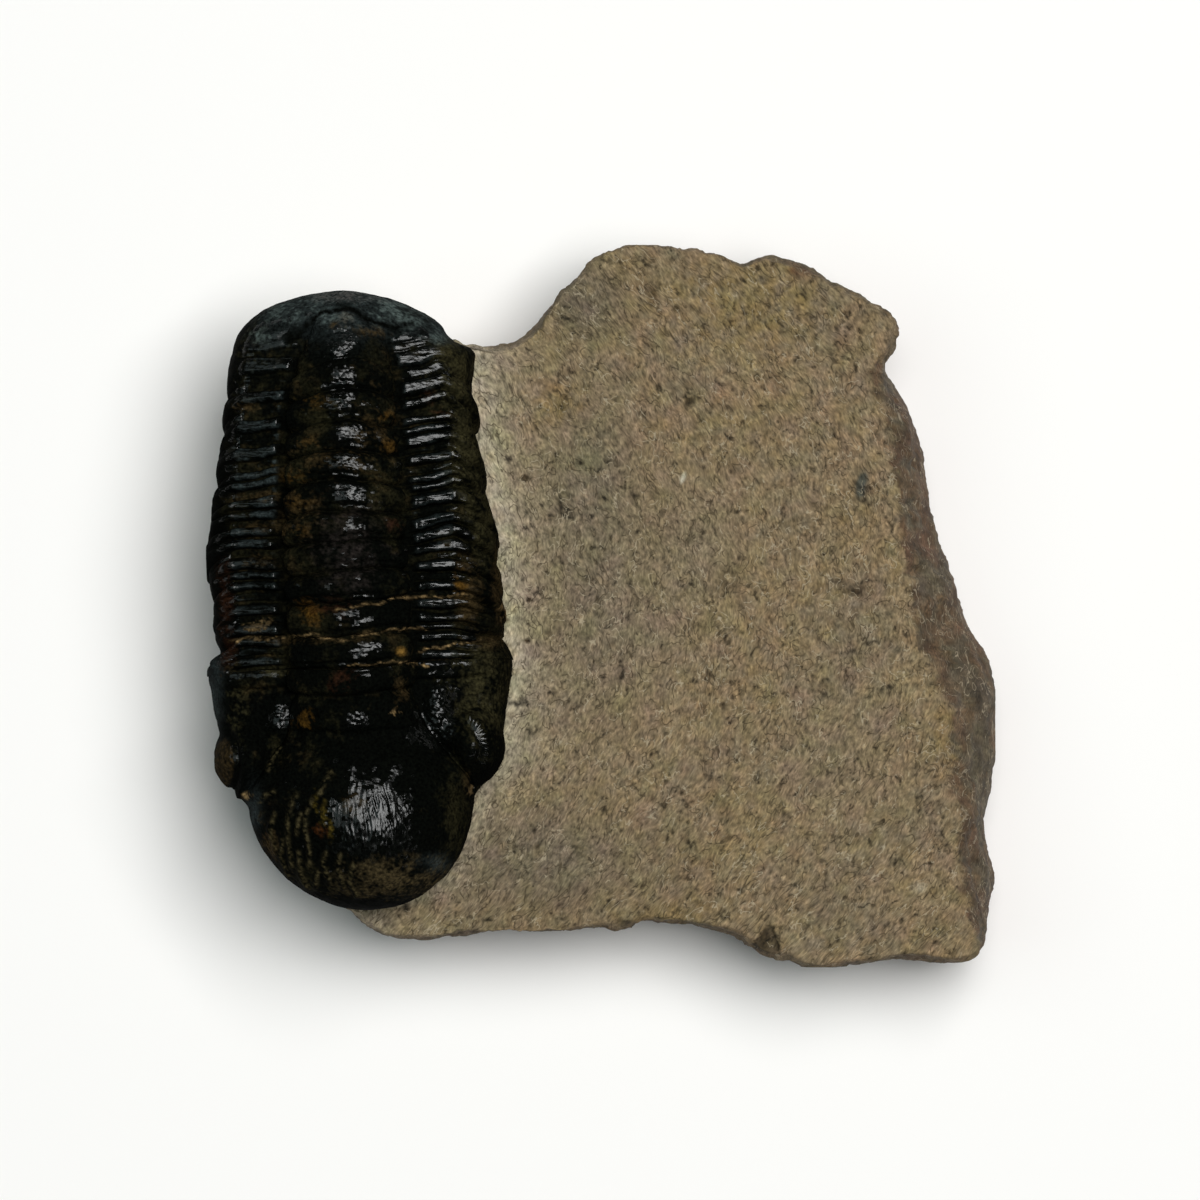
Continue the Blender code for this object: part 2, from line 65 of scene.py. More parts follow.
# The trilobite's midline, its rounded ends, and the plan and heights of its plain body.
MIDLINE_TAIL_X = 343.0
MIDLINE_LEAN = 0.0364
TAIL_ROUND_FROM = 345.0
HEAD_ROUND_FROM = 805.0
TAIL_ROUNDNESS = 0.66
HEAD_ROUNDNESS = 0.56
TAIL_TIP_HEIGHT = 2.4 * MM
HEAD_TIP_HEIGHT = 4.4 * MM
EDGE_HOLD = 1.4
FURROW_TURN, BEND_TURN = 66, 76
ARCHED_FROM, ARCHED_BY = 785.0, 806.0
SIDE_BULGE = 0.3 * MM
LEFT_UNDERCUT = 1.4 * MM
RIGHT_UNDERCUT = 0.5 * MM
SEGMENT_SLOPE = -0.055

# Plan distances from the midline, in pixels: (y, distance).
LEFT_EDGE = [
    (330, 110), (345, 111), (365, 115), (385, 117), (395, 117), (405, 122), (418, 122), (428, 120),
    (440, 126), (460, 130), (480, 129), (500, 136), (520, 138), (545, 144), (560, 144), (575, 140),
    (600, 136), (608, 136), (618, 139), (632, 137), (648, 133), (655, 138), (662, 146), (672, 148),
    (690, 146), (710, 144), (728, 140), (737, 138), (746, 142), (760, 145), (775, 143), (788, 134),
    (797, 122), (806, 113), (820, 112), (909, 112),
]
RIGHT_EDGE = [
    (291, 102), (325, 103), (335, 105), (340, 112), (346, 125), (360, 128), (375, 124), (388, 126),
    (400, 131), (410, 131), (421, 125), (430, 128), (440, 131), (460, 135), (480, 134), (492, 139),
    (510, 143), (530, 146), (550, 143), (565, 147), (590, 148), (605, 149), (620, 148), (633, 146),
    (641, 150), (650, 154), (690, 152), (715, 148), (735, 145), (750, 146), (765, 142), (778, 133),
    (786, 123), (795, 115), (806, 113), (909, 112),
]
LEFT_FURROW = [
    (291, 26), (330, 33), (346, 40), (374, 51), (403, 59), (432, 62), (460, 64), (500, 67), (540, 70),
    (580, 68), (620, 68), (665, 67), (700, 64), (716, 66), (735, 71), (755, 85), (775, 99), (790, 111),
    (800, 114), (909, 110),
]
RIGHT_FURROW = [
    (291, 26), (330, 36), (346, 43), (374, 49), (403, 52), (432, 52), (460, 54), (500, 57), (540, 58),
    (580, 60), (620, 60), (665, 60), (690, 56), (716, 62), (730, 70), (745, 81), (760, 95), (780, 110),
    (795, 113), (909, 110),
]
LEFT_BEND = [
    (291, 80), (346, 90), (374, 98), (403, 104), (432, 110), (460, 114), (489, 117), (545, 120),
    (601, 118), (632, 117), (665, 116), (735, 118), (765, 124), (785, 122), (800, 114), (909, 111),
]
RIGHT_BEND = [
    (291, 70), (346, 80), (374, 94), (403, 98), (432, 100), (460, 103), (545, 101), (601, 100),
    (665, 102), (735, 112), (765, 118), (785, 117), (800, 113), (909, 111),
]

# Heights above the slab's top, in millimetres: (y, height).
CREST = [
    (291, 7.2), (312, 7.9), (346, 9.3), (374, 10.3), (403, 11.1), (432, 11.7), (460, 12.1), (489, 12.4),
    (545, 12.8), (601, 12.7), (632, 12.4), (665, 12.0), (716, 11.6), (735, 11.3), (760, 12.3),
    (785, 13.0), (812, 13.3), (909, 13.3),
]
FURROW_FLOOR = [
    (291, 7.0), (346, 7.0), (403, 8.1), (460, 8.6), (545, 8.9), (632, 8.6), (690, 8.0), (735, 7.2),
    (765, 6.0), (785, 4.9), (800, 4.4), (909, 4.4),
]
BEND_HEIGHT = [
    (291, 6.2), (346, 6.4), (403, 7.3), (460, 7.8), (545, 8.0), (632, 7.7), (665, 7.3), (735, 6.6),
    (765, 5.6), (785, 4.6), (800, 4.2), (909, 4.2),
]
LEFT_EDGE_HEIGHT = [
    (291, 2.4), (346, 2.2), (403, 1.6), (632, 1.6), (700, 2.0), (735, 3.6), (760, 4.4), (790, 3.4),
    (806, 3.8), (909, 4.4),
]
RIGHT_EDGE_HEIGHT = [
    (291, 2.4), (346, 0.5), (403, 0.1), (632, 0.1), (700, 0.6), (735, 2.8), (755, 4.2), (780, 3.2),
    (795, 2.6), (806, 3.6), (909, 4.4),
]
CREST_BOW = [(291, 0), (346, -12), (432, -12), (545, -4), (665, 4), (735, 4), (780, 0), (909, 0)]
TIP_SWEEP = [(291, 0), (340, 0), (374, 9), (632, 9), (690, 0), (909, 0)]

# Low domes on the cheeks: (x, y, radius across, radius along, height in mm).
DOMES = [
    (474, 744, 33, 42, 3.1), (246, 764, 33, 42, 3.1),
    (440, 716, 17, 36, 1.0), (282, 724, 17, 36, 1.0),
]
DOME_SOFTNESS = 1.2

# The joints between the plates, from the tail to the back of the head. The first three are in the tail.
JOINTS = np.array([314, 323, 334, 346, 374, 403, 432, 460, 489, 517, 545, 573, 601, 632, 665], float)
HEAD_FROM = 665.0
RIB_STRENGTH = [(300, 0), (322, 0.0), (334, 0.3), (344, 0.75), (356, 1), (909, 1)]
BAND_FLATNESS, RIB_FLATNESS = 4.4, 4.5  # how flat-topped rings and ribs are: 2 is a plain arch
AXIS_RING = 0.38 * MM
RIB_RISE = [(340, 6), (366, 11), (400, 9), (450, 7), (500, 6), (535, 6), (560, 2), (600, 0), (665, 0)]
# The ribs on the flatter part of each side, where they leave the axis, and how high each stands above the
# gaps beside it: (y, half its width in pixels, height in mm).
LEFT_RIBS = [
    (343, 4.5, 0.42), (361, 8.5, 0.46), (376, 4.0, 0.06), (393, 6.5, 0.44),
    (407, 4.0, 0.06), (421, 6.0, 0.46), (435, 3.5, 0.06), (448, 6.0, 0.44), (458, 3.0, 0.06), (468, 4.5, 0.36),
    (478, 4.5, 0.42), (487, 3.0, 0.06), (497, 5.5, 0.44), (509, 5.5, 0.42), (518, 3.0, 0.06), (528, 5.5, 0.42),
    (541, 5.5, 0.40), (550, 3.0, 0.06), (560, 6.5, 0.46), (571, 4.0, 0.30), (582, 5.0, 0.42), (593, 4.0, 0.13),
    (605, 5.5, 0.44), (615, 3.5, 0.06), (625, 5.5, 0.44), (637, 4.5, 0.34), (647, 3.5, 0.13), (657, 4.5, 0.34),
]
RIGHT_RIBS = [
    (336, 3.5, 0.06), (345, 4.5, 0.36), (354, 4.0, 0.30), (366, 8.5, 0.48), (381, 5.0, 0.13),
    (395, 7.5, 0.48), (410, 5.0, 0.40), (420, 3.5, 0.06), (428, 4.5, 0.38), (439, 4.5, 0.40), (450, 6.5, 0.48),
    (459, 3.0, 0.13), (468, 5.0, 0.42), (478, 4.0, 0.13), (486, 3.5, 0.36), (493, 3.0, 0.32), (507, 8.0, 0.48),
    (519, 4.0, 0.13), (530, 7.0, 0.46), (543, 6.0, 0.40), (555, 5.0, 0.42), (563, 3.5, 0.06), (572, 5.0, 0.42),
    (582, 4.0, 0.13), (591, 5.0, 0.44), (599, 3.5, 0.13), (607, 5.0, 0.40), (620, 5.0, 0.42), (629, 3.5, 0.32),
    (639, 5.0, 0.40), (648, 4.0, 0.13), (657, 5.0, 0.38),
]
# How far the ribs are swept forwards at their ends, and how far the cheeks reach back over them, in pixels.
RIB_SWEEP = (20.0, 25.0)
CHEEK_REACH = (15.0, 28.0)

# The rim of the right eye: half an ellipse about this place with these radii, in pixels.
EYE_X, EYE_Y, EYE_ACROSS, EYE_ALONG = 462.0, 748.0, 26.0, 34.0
BEAD_SPACING = 4.6
LENS_SPACING = 0.42 * MM
LENS_TOP, LENS_BOTTOM = 8.6 * MM, 5.0 * MM
# The left eye is worn to an almond-shaped brown face.
WORN_X, WORN_Y, WORN_ACROSS, WORN_ALONG = 226.0, 762.0, 11.0, 25.0

DULL_FROM = 0.42  # where the shell's dull material takes over from its polished one

# The wrinkles of the swollen front of the head fan out from here, in pixels.
FAN = (352.0, 600.0)

# Thin veins that cross the body, as places in plan.
VEINS = [
    [(338, 611), (362, 606), (390, 600), (430, 598), (470, 594)],
    [(232, 641), (250, 637), (283, 638), (313, 633), (340, 640), (390, 630), (428, 628)],
    [(352, 665), (372, 665), (395, 661), (430, 664)],
    [(421, 651), (440, 648), (457, 643), (480, 639)],
]
VEIN_WIDTH = 0.95

# Colours of the shell, as linear red, green and blue.
SHELL = (0.0014, 0.0017, 0.0012)
OLIVE = (0.0125, 0.0112, 0.0050)
RED = (0.040, 0.014, 0.004)
UMBER = (0.017, 0.0135, 0.012)
SPOT = (0.130, 0.072, 0.016)
MOSS = (0.0250, 0.0220, 0.0097)
OCHRE = (0.062, 0.031, 0.0055)
RUST = (0.018, 0.0075, 0.0038)
BROWN = (0.031, 0.0205, 0.0085)
TAN = (0.250, 0.165, 0.074)
# Painted reflection: the blue-grey that smooth skin and rib tops show.
REFLECTION_GREY = (0.024, 0.031, 0.031)
YELLOW = (0.054, 0.038, 0.006)
# Painted reflection: the paler blue-grey clouds on the tail.
PALE_REFLECTION = (0.064, 0.082, 0.076)
ASHEN = (0.056, 0.053, 0.050)
STONY = (0.072, 0.066, 0.052)
# Patches of those colours: (x, y, radius across, radius along, colour, strength).
PATCHES = [
    (320, 405, 17, 9, OCHRE, 0.5), (313, 445, 12, 8, OCHRE, 0.45), (300, 480, 13, 9, OCHRE, 0.4),
    (303, 504, 16, 8, OCHRE, 0.5), (304, 531, 16, 7, OCHRE, 0.5), (318, 455, 26, 24, BROWN, 0.45),
    (308, 515, 24, 28, BROWN, 0.6), (330, 420, 30, 20, OLIVE, 0.9), (380, 490, 20, 40, OLIVE, 1.0),
    (312, 612, 14, 12, OCHRE, 1.0), (335, 606, 22, 9, RUST, 0.9), (344, 681, 14, 12, RUST, 1.2),
    (309, 718, 10, 9, OCHRE, 0.8), (318, 802, 4, 11, YELLOW, 0.9), (326, 813, 4, 14, YELLOW, 1.0), (334, 826, 3, 10, YELLOW, 0.9), (323, 828, 8, 6, RED, 1.0),
    (387, 418, 8, 6, OCHRE, 0.6), (390, 448, 9, 7, OCHRE, 0.7), (395, 525, 8, 8, RUST, 0.9),
    (468, 592, 13, 34, BROWN, 1.3), (462, 585, 8, 14, OCHRE, 0.7), (500, 580, 7, 36, BROWN, 1.6),
    (505, 606, 6, 12, TAN, 0.6), (489, 641, 15, 9, BROWN, 1.5), (482, 690, 26, 50, MOSS, 1.0),
    (397, 712, 5, 6, TAN, 0.7), (402, 690, 7, 14, BROWN, 0.9), (227, 600, 9, 50, RUST, 0.8), (231, 645, 9, 20, RUST, 1.1),
    (238, 700, 11, 40, MOSS, 0.4), (467, 780, 4, 12, BROWN, 1.6), (471, 789, 3, 7, TAN, 1.1),
    (250, 794, 5, 4, TAN, 1.2), (300, 640, 60, 5, BROWN, 0.9), (275, 672, 13, 6, MOSS, 0.9),
    (270, 497, 24, 5, BROWN, 1.1), (270, 528, 28, 6, BROWN, 1.1), (262, 562, 22, 7, BROWN, 0.9),
    (262, 625, 14, 6, TAN, 0.6), (248, 345, 20, 60, OLIVE, 0.5), (246, 408, 16, 6, BROWN, 0.9),
    (358, 799, 11, 13, BROWN, 1.1), (395, 876, 58, 20, (0.046, 0.034, 0.016), 1.1), (458, 812, 16, 52, OLIVE, 1.2), (272, 842, 9, 16, BROWN, 1.3), (268, 832, 5, 7, RED, 0.7),
    (300, 880, 40, 22, OLIVE, 0.5), (268, 835, 10, 26, BROWN, 0.6), (455, 375, 22, 34, MOSS, 1.2),
    (465, 450, 18, 50, MOSS, 1.2), (482, 520, 16, 40, MOSS, 1.2), (348, 319, 8, 10, STONY, 1.0),
    # The blue-grey patches on and beside the tail are painted reflection.
    (335, 308, 84, 20, PALE_REFLECTION, 0.45), (402, 316, 26, 15, PALE_REFLECTION, 1.0), (346, 298, 34, 8, ASHEN, 0.9), (432, 338, 14, 8, PALE_REFLECTION, 0.7),
    (262, 338, 14, 8, PALE_REFLECTION, 0.5), (338, 328, 7, 5, BROWN, 0.9), (372, 333, 26, 6, BROWN, 0.5),
    (372, 440, 22, 60, BROWN, 0.35), (430, 398, 10, 10, RUST, 0.7),
    (440, 416, 12, 6, RUST, 0.7), (350, 545, 34, 44, UMBER, 0.8), (279, 745, 8, 14, OLIVE, 0.9),
]
# Smooth skin on the tail and on the outer sides of the head, tinted blue-grey as a painted reflection: (x, y, radii).
PAINTED_SHEEN_SKIN = [(345, 308, 85, 26), (215, 695, 8, 38), (256, 812, 7, 24), (436, 862, 14, 8), (450, 330, 20, 14)]

# Coarse wrinkles on the left of the head's front, with brown tops.
WRINKLES = [
    [(299, 793), (293, 806), (290, 822), (291, 842), (294, 864)], [(315, 797), (309, 812), (308, 828), (312, 845), (312, 866)],
    [(303, 812), (299, 832)], [(329, 850), (325, 861), (331, 876)], [(343, 852), (340, 868), (346, 884)],
    [(277, 812), (272, 828), (279, 852)], [(282, 748), (275, 757), (270, 768)], [(262, 802), (268, 794), (276, 790)],
    [(285, 838), (283, 856), (290, 874)], [(320, 868), (318, 884)], [(334, 770), (328, 780), (322, 792)],
    [(301, 850), (303, 872), (310, 886)], [(356, 862), (352, 878), (358, 892)],
]
WRINKLE_TOPS = (0.046, 0.037, 0.017)
# The furrow that arches over the end of the axis in the tail, painted black along its line as shade.
TAIL_FURROW = [
    (290, 341), (299, 337), (307, 327), (317, 319), (327, 315), (338, 311), (349, 307), (358, 314), (367, 320),
    (378, 325), (393, 328), (414, 326),
]
# Small polished knobs at the right edge of the axis, and the polished lip of the head's right furrow.
KNOBS = [(397, 441), (398, 466), (399, 485), (402, 500), (404, 521), (406, 548)]
LIP = [(417, 713), (427, 727), (441, 747)]
# Ridges where the ends of ribs curve forwards on the right flank.
HOOKS = [
    [(440, 517), (452, 513), (460, 507), (465, 500)], [(444, 558), (458, 554), (467, 547), (474, 536)],
    [(446, 492), (456, 487), (462, 480)], [(440, 470), (450, 466), (457, 459)],
]
# Polished places on the head: (x, y, radii).
POLISHED = [
    (354, 653, 17, 13), (368, 671, 12, 5), (416, 650, 6, 11), (360, 720, 11, 8), (374, 815, 42, 42),
    (441, 716, 17, 34), (483, 735, 9, 32), (475, 719, 7, 8), (283, 715, 12, 14), (238, 750, 7, 12),
    (214, 700, 9, 52), (440, 657, 15, 4), (436, 674, 12, 3), (428, 734, 16, 12), (489, 745, 8, 26),
    (255, 674, 26, 4), (250, 657, 24, 4),
]

# The slab's outline from above, clockwise from the notch beside the tail, and its rings, as in the part.
SLAB_START = [
    (447, 338), (470, 345), (497, 350), (515, 343), (530, 333), (545, 312), (562, 290), (580, 274),
    (600, 257), (615, 247), (632, 243), (655, 243), (680, 246), (705, 250), (722, 252), (733, 258),
    (742, 263), (750, 262), (758, 257), (768, 256), (785, 259), (805, 264), (820, 271), (832, 282),
    (842, 284), (850, 290), (862, 294), (875, 307), (888, 317), (894, 328), (892, 345), (887, 357),
]
SLAB_RIGHT = [
    (885, 366), (893, 373), (900, 382), (910, 400), (920, 425), (928, 448), (931, 470), (935, 490),
    (940, 515), (945, 540), (955, 560), (962, 580), (968, 600), (971, 620), (982, 643), (993, 662),
    (998, 678), (1004, 695), (1003, 708), (1000, 722), (1003, 745), (1003, 762), (1000, 785), (993, 805),
    (990, 822), (993, 845), (998, 870), (996, 895), (992, 925), (986, 946),
]
SLAB_END = [
    (978, 955), (962, 962), (940, 962), (900, 960), (880, 963), (860, 964), (835, 967), (815, 968),
    (800, 964), (785, 957), (768, 954), (755, 950), (745, 942), (733, 935), (712, 932), (690, 926),
    (665, 923), (645, 922), (630, 925), (600, 926), (585, 928), (570, 933), (555, 935), (520, 934),
    (490, 935), (455, 938), (420, 940), (395, 940), (378, 935), (362, 922), (345, 908), (325, 889),
    (297, 862), (275, 830), (268, 800), (250, 770), (245, 720), (241, 660), (238, 600), (230, 550),
    (235, 500), (240, 440), (245, 390), (252, 356), (276, 332), (310, 316), (345, 312), (385, 319),
    (420, 332),
]
TOP_RIGHT = [
    (878, 370), (869, 378), (878, 396), (890, 412), (895, 446), (900, 480), (905, 510), (909, 540),
    (912, 570), (916, 600), (921, 630), (930, 660), (941, 685), (952, 710), (957, 735), (953, 762),
    (948, 788), (960, 806), (968, 820), (964, 842), (960, 866), (963, 890), (966, 908), (973, 926),
    (981, 941),
]
# Up the slab's side: (height as a share of the thickness, inset in mm, share of the way to the right side).
SIDE_PROFILE = [
    (0.0, 2.4, 1.0), (0.14, 1.2, 1.0), (0.42, 0.2, 1.0), (0.62, 0.0, 0.8), (0.82, 0.1, 0.42),
    (0.95, 0.1, 0.12), (1.0, 0.35, 0.0),
]
SLAB_MIDDLE = (690.0, 620.0)
STROKE_LEAN = 11.0  # the strokes on the top lean one way at its back and the other way at its front
TOP_SPACING = 0.155 * MM  # between the vertices of the top face
WORKED_DIP = 0.5 * MM
WORKED_DIP_REACH = 15 * MM
WORKED_BESIDE = (495.0, 600.0)

LIMESTONE = (0.193, 0.139, 0.079)
DUSTY = (0.330, 0.285, 0.195)
YELLOWED = (0.185, 0.133, 0.063)
GREYED = (0.150, 0.119, 0.077)
WEATHERED = (0.089, 0.061, 0.034)
CHIP = (0.040, 0.028, 0.015)
# The corners of the dark chip at the slab's front, clockwise.
CHIP_CORNERS = [(767, 925), (773, 928), (781, 949), (775, 955), (761, 952), (750, 947)]
# Marks on the slab: (x, y, radius across, radius along, turn in degrees, colour, strength, depth in mm).
MARKS = [
    (585, 300, 34, 34, 0, (0.128, 0.104, 0.066), 0.9, 0.0), (590, 480, 36, 90, 0, (0.134, 0.110, 0.070), 0.8, 0.0),
    (690, 560, 40, 70, 20, (0.178, 0.140, 0.088), 0.6, 0.0), (830, 760, 60, 60, 0, (0.178, 0.135, 0.082), 0.5, 0.0),
    (862, 485, 6, 15, 8, (0.055, 0.055, 0.042), 1.3, 0.1), (728, 580, 11, 10, 0, CHIP, 0.75, 0.1),
    (856, 590, 14, 8, 20, CHIP, 0.7, 0.15), (652, 285, 8, 13, 0, CHIP, 0.5, 0.1),
    (690, 402, 7, 4, -35, CHIP, 0.9, 0.1), (561, 409, 3.2, 5.0, 0, CHIP, 2.0, 0.35),
    (525, 478, 4.0, 3.4, 0, CHIP, 2.0, 0.3), (676, 308, 4.0, 3.0, 0, CHIP, 1.6, 0.25),
    (750, 300, 60, 40, 0, YELLOWED, 0.9, 0.0), (946, 735, 14, 34, 0, YELLOWED, 1.3, 0.0),
    (672, 914, 46, 12, 0, YELLOWED, 1.3, 0.0), (555, 405, 30, 22, 0, YELLOWED, 0.5, 0.0),
    (800, 270, 9, 7, 0, (0.10, 0.055, 0.028), 0.9, 0.0), (626, 921, 6, 3, 0, CHIP, 1.4, 0.0),
    (540, 860, 80, 40, 0, GREYED, 1.0, 0.0), (600, 600, 50, 120, 0, GREYED, 0.7, 0.0),
    (919, 888, 7, 5, 0, (0.30, 0.25, 0.17), 0.7, 0.0), (683, 478, 2.5, 6, 20, (0.36, 0.33, 0.25), 1.2, 0.0),
    (707, 669, 2.0, 22, -30, CHIP, 0.7, 0.1), (675, 391, 2.0, 16, -55, CHIP, 0.7, 0.1),
    (898, 300, 40, 14, 40, WEATHERED, 0.7, 0.0), (530, 600, 3, 2.4, 0, CHIP, 1.6, 0.2),
    (527, 641, 3, 2.2, 0, CHIP, 1.3, 0.2), (560, 905, 4, 3, 0, CHIP, 1.0, 0.1),
]


NOISE_TURN = np.array(Matrix.Rotation(0.9, 3, Vector((1, 2, 3))))
NOISE_GAIN = 1.9


def through(points, at):
    """Values at positions `at` of a smooth curve through the (position, value) points."""
    place, value = np.array(points, float).T
    slope = np.gradient(value, place)
    at = np.clip(np.asarray(at, float), place[0], place[-1])
    i = np.clip(np.searchsorted(place, at) - 1, 0, len(place) - 2)
    span = place[i + 1] - place[i]
    t = (at - place[i]) / span
    near = (1 + 2 * t) * (1 - t) ** 2 * value[i] + t * (1 - t) ** 2 * span * slope[i]
    far = t**2 * (3 - 2 * t) * value[i + 1] - t**2 * (1 - t) * span * slope[i + 1]
    return near + far


def ease(start, end, at):
    """0 before start, 1 after end, and smooth between them."""
    t = np.clip((np.asarray(at, float) - start) / (end - start), 0, 1)
    return t * t * (3 - 2 * t)


def bump(distance, width):
    """1 at no distance, falling smoothly to nothing over about two widths."""
    return np.exp(-((distance / width) ** 2))


def hashed_bits(ix, iy, iz, seed):
    """Repeatable 32-bit numbers for whole-number places."""
    mixed = (ix * 73856093) ^ (iy * 19349663) ^ (iz * 83492791) ^ (seed * 49979687)
    mixed = ((mixed ^ (mixed >> 13)) * 1274126177) & 0xFFFFFFFF
    mixed = ((mixed ^ (mixed >> 15)) * 2246822519) & 0xFFFFFFFF
    return mixed ^ (mixed >> 16)


def hashed(ix, iy, seed):
    """Repeatable values between -1 and 1 for whole-number places."""
    return (hashed_bits(ix, iy, 0 * ix, seed) & 0xFFFF) / 32767.5 - 1


def grain(points, size, seed):
    """Smooth noise, mostly between -1 and 1, with features of about `size`, one number or one for each axis."""
    scaled = (points / np.asarray(size, float)) @ NOISE_TURN
    base = np.floor(scaled)
    part = scaled - base
    weight = part**3 * (part * (6 * part - 15) + 10)
    base = base.astype(np.int64)
    total = 0.0
    for dx in (0, 1):
        for dy in (0, 1):
            for dz in (0, 1):
                bits = hashed_bits(base[..., 0] + dx, base[..., 1] + dy, base[..., 2] + dz, seed)
                slope = ((bits & 1023) / 511.5 - 1) * (part[..., 0] - dx)
                slope += (((bits >> 10) & 1023) / 511.5 - 1) * (part[..., 1] - dy)
                slope += (((bits >> 20) & 1023) / 511.5 - 1) * (part[..., 2] - dz)
                share = np.abs(1 - dx - weight[..., 0]) * np.abs(1 - dy - weight[..., 1])
                total = total + slope * share * np.abs(1 - dz - weight[..., 2])
    return NOISE_GAIN * total


def layered(points, size, seed, layers=3):
    """Noise of several sizes, each half as large and half as strong as the one before."""
    return sum(grain(points, size / 2**n, seed + n) / 2**n for n in range(layers))


def studs(u, v, spacing, seed, jitter=0.35):
    """Distance to the nearest of a field of points about `spacing` apart, in rows set half a step over."""
    row = np.floor(v / spacing)
    nearest = np.full(np.shape(u), 1e9)
    for dy in (-1, 0, 1):
        line = (row + dy).astype(np.int64)
        offset = 0.5 * (line % 2)
        cell = np.floor(u / spacing - offset)
        for dx in (-1, 0, 1):
            step = (cell + dx).astype(np.int64)
            centre_u = (step + 0.5 + offset + jitter * hashed(step, line, seed)) * spacing
            centre_v = (line + 0.5 + jitter * hashed(step, line, seed + 7)) * spacing
            nearest = np.minimum(nearest, np.hypot(u - centre_u, v - centre_v))
    return nearest


def world(x, y):
    """Metres in the part's frame from pixels of the plan."""
    return (x - PLAN_CENTRE[0]) * PIXEL, (PLAN_CENTRE[1] - y) * PIXEL


def plan(points):
    """Pixels of the plan from metres in the part's frame."""
    return points[..., 0] / PIXEL + PLAN_CENTRE[0], PLAN_CENTRE[1] - points[..., 1] / PIXEL


def blot(x, y, centre_x, centre_y, radius_x, radius_y, turn=0.0):
    """1 in the middle of an ellipse on the plan and 0 well outside it."""
    c, s = math.cos(math.radians(turn)), math.sin(math.radians(turn))
    dx, dy = x - centre_x, y - centre_y
    return np.exp(-(((c * dx + s * dy) / radius_x) ** 2) - ((-s * dx + c * dy) / radius_y) ** 2)


def line_distance(x, y, line):
    """Distance in pixels from places on the plan to an open line of points."""
    nearest = np.full(x.shape, 1e9)
    for (ax, ay), (bx, by) in zip(line, line[1:]):
        length = math.hypot(bx - ax, by - ay)
        along = np.clip(((x - ax) * (bx - ax) + (y - ay) * (by - ay)) / length**2, 0, 1)
        nearest = np.minimum(nearest, np.hypot(x - ax - along * (bx - ax), y - ay - along * (by - ay)))
    return nearest


def midline(y):
    return MIDLINE_TAIL_X + MIDLINE_LEAN * (np.asarray(y, float) - TAIL_Y)


def towards_tips(y):
    """How far y is into the rounded tail and into the rounded head, each from 0 to 1."""
    tail = np.clip((TAIL_ROUND_FROM - y) / (TAIL_ROUND_FROM - TAIL_Y), 0, 1)
    head = np.clip((y - HEAD_ROUND_FROM) / (HEAD_Y - HEAD_ROUND_FROM), 0, 1)
    return tail, head


def end_rounding(y):
    """How wide the body is at y, from 0 at the tips of tail and head to 1 between them."""
    tail, head = towards_tips(y)
    return (1 - tail**2) ** TAIL_ROUNDNESS * (1 - head**2) ** HEAD_ROUNDNESS


def tip_height(y):
    return np.where(np.asarray(y) < 600, TAIL_TIP_HEIGHT, HEAD_TIP_HEIGHT)


def rounded_height(points, y):
    """A height in metres from a list in millimetres, brought down to the tips at the ends."""
    tip = tip_height(y)
    return tip + (through(points, y) * MM - tip) * end_rounding(y)


def bow(across, y, furrow):
    """How far a row at y is carried forwards, in pixels, at `across` pixels from the midline."""
    lean = SEGMENT_SLOPE * ease(300, 350, y) * (1 - ease(690, 790, y)) * across
    crest = through(CREST_BOW, y) * np.clip(1 - (across / furrow) ** 2, 0, 1)
    return lean + crest


def underside(y):
    """Height of the body's underside, which rises to meet the tips of tail and head."""
    tail, head = towards_tips(y)
    tip = tip_height(y)
    return tip - (tip - UNDERSIDE) * np.sqrt((1 - tail**4) * (1 - head**6))


WALL, FLANK, SIDE, AXIS = range(4)


def columns(wall, flank, side, axis):
    """Places across the body from the foot of its left wall to that of its right: zone, share of it, hand."""
    right = [(SIDE, i / side) for i in range(side)]
    right += [(FLANK, i / flank) for i in range(flank)]
    right += [(WALL, i / wall) for i in range(wall + 1)]
    middle = [(AXIS, -1 + 2 * i / axis) for i in range(1, axis)]
    zone, share = np.array(right[::-1] + middle + right).T
    hand = np.concatenate([-np.ones(len(right)), np.sign(share[len(right) : len(right) + len(middle)] + 1e-9)])
    return zone, share, np.concatenate([hand, np.ones(len(right))])


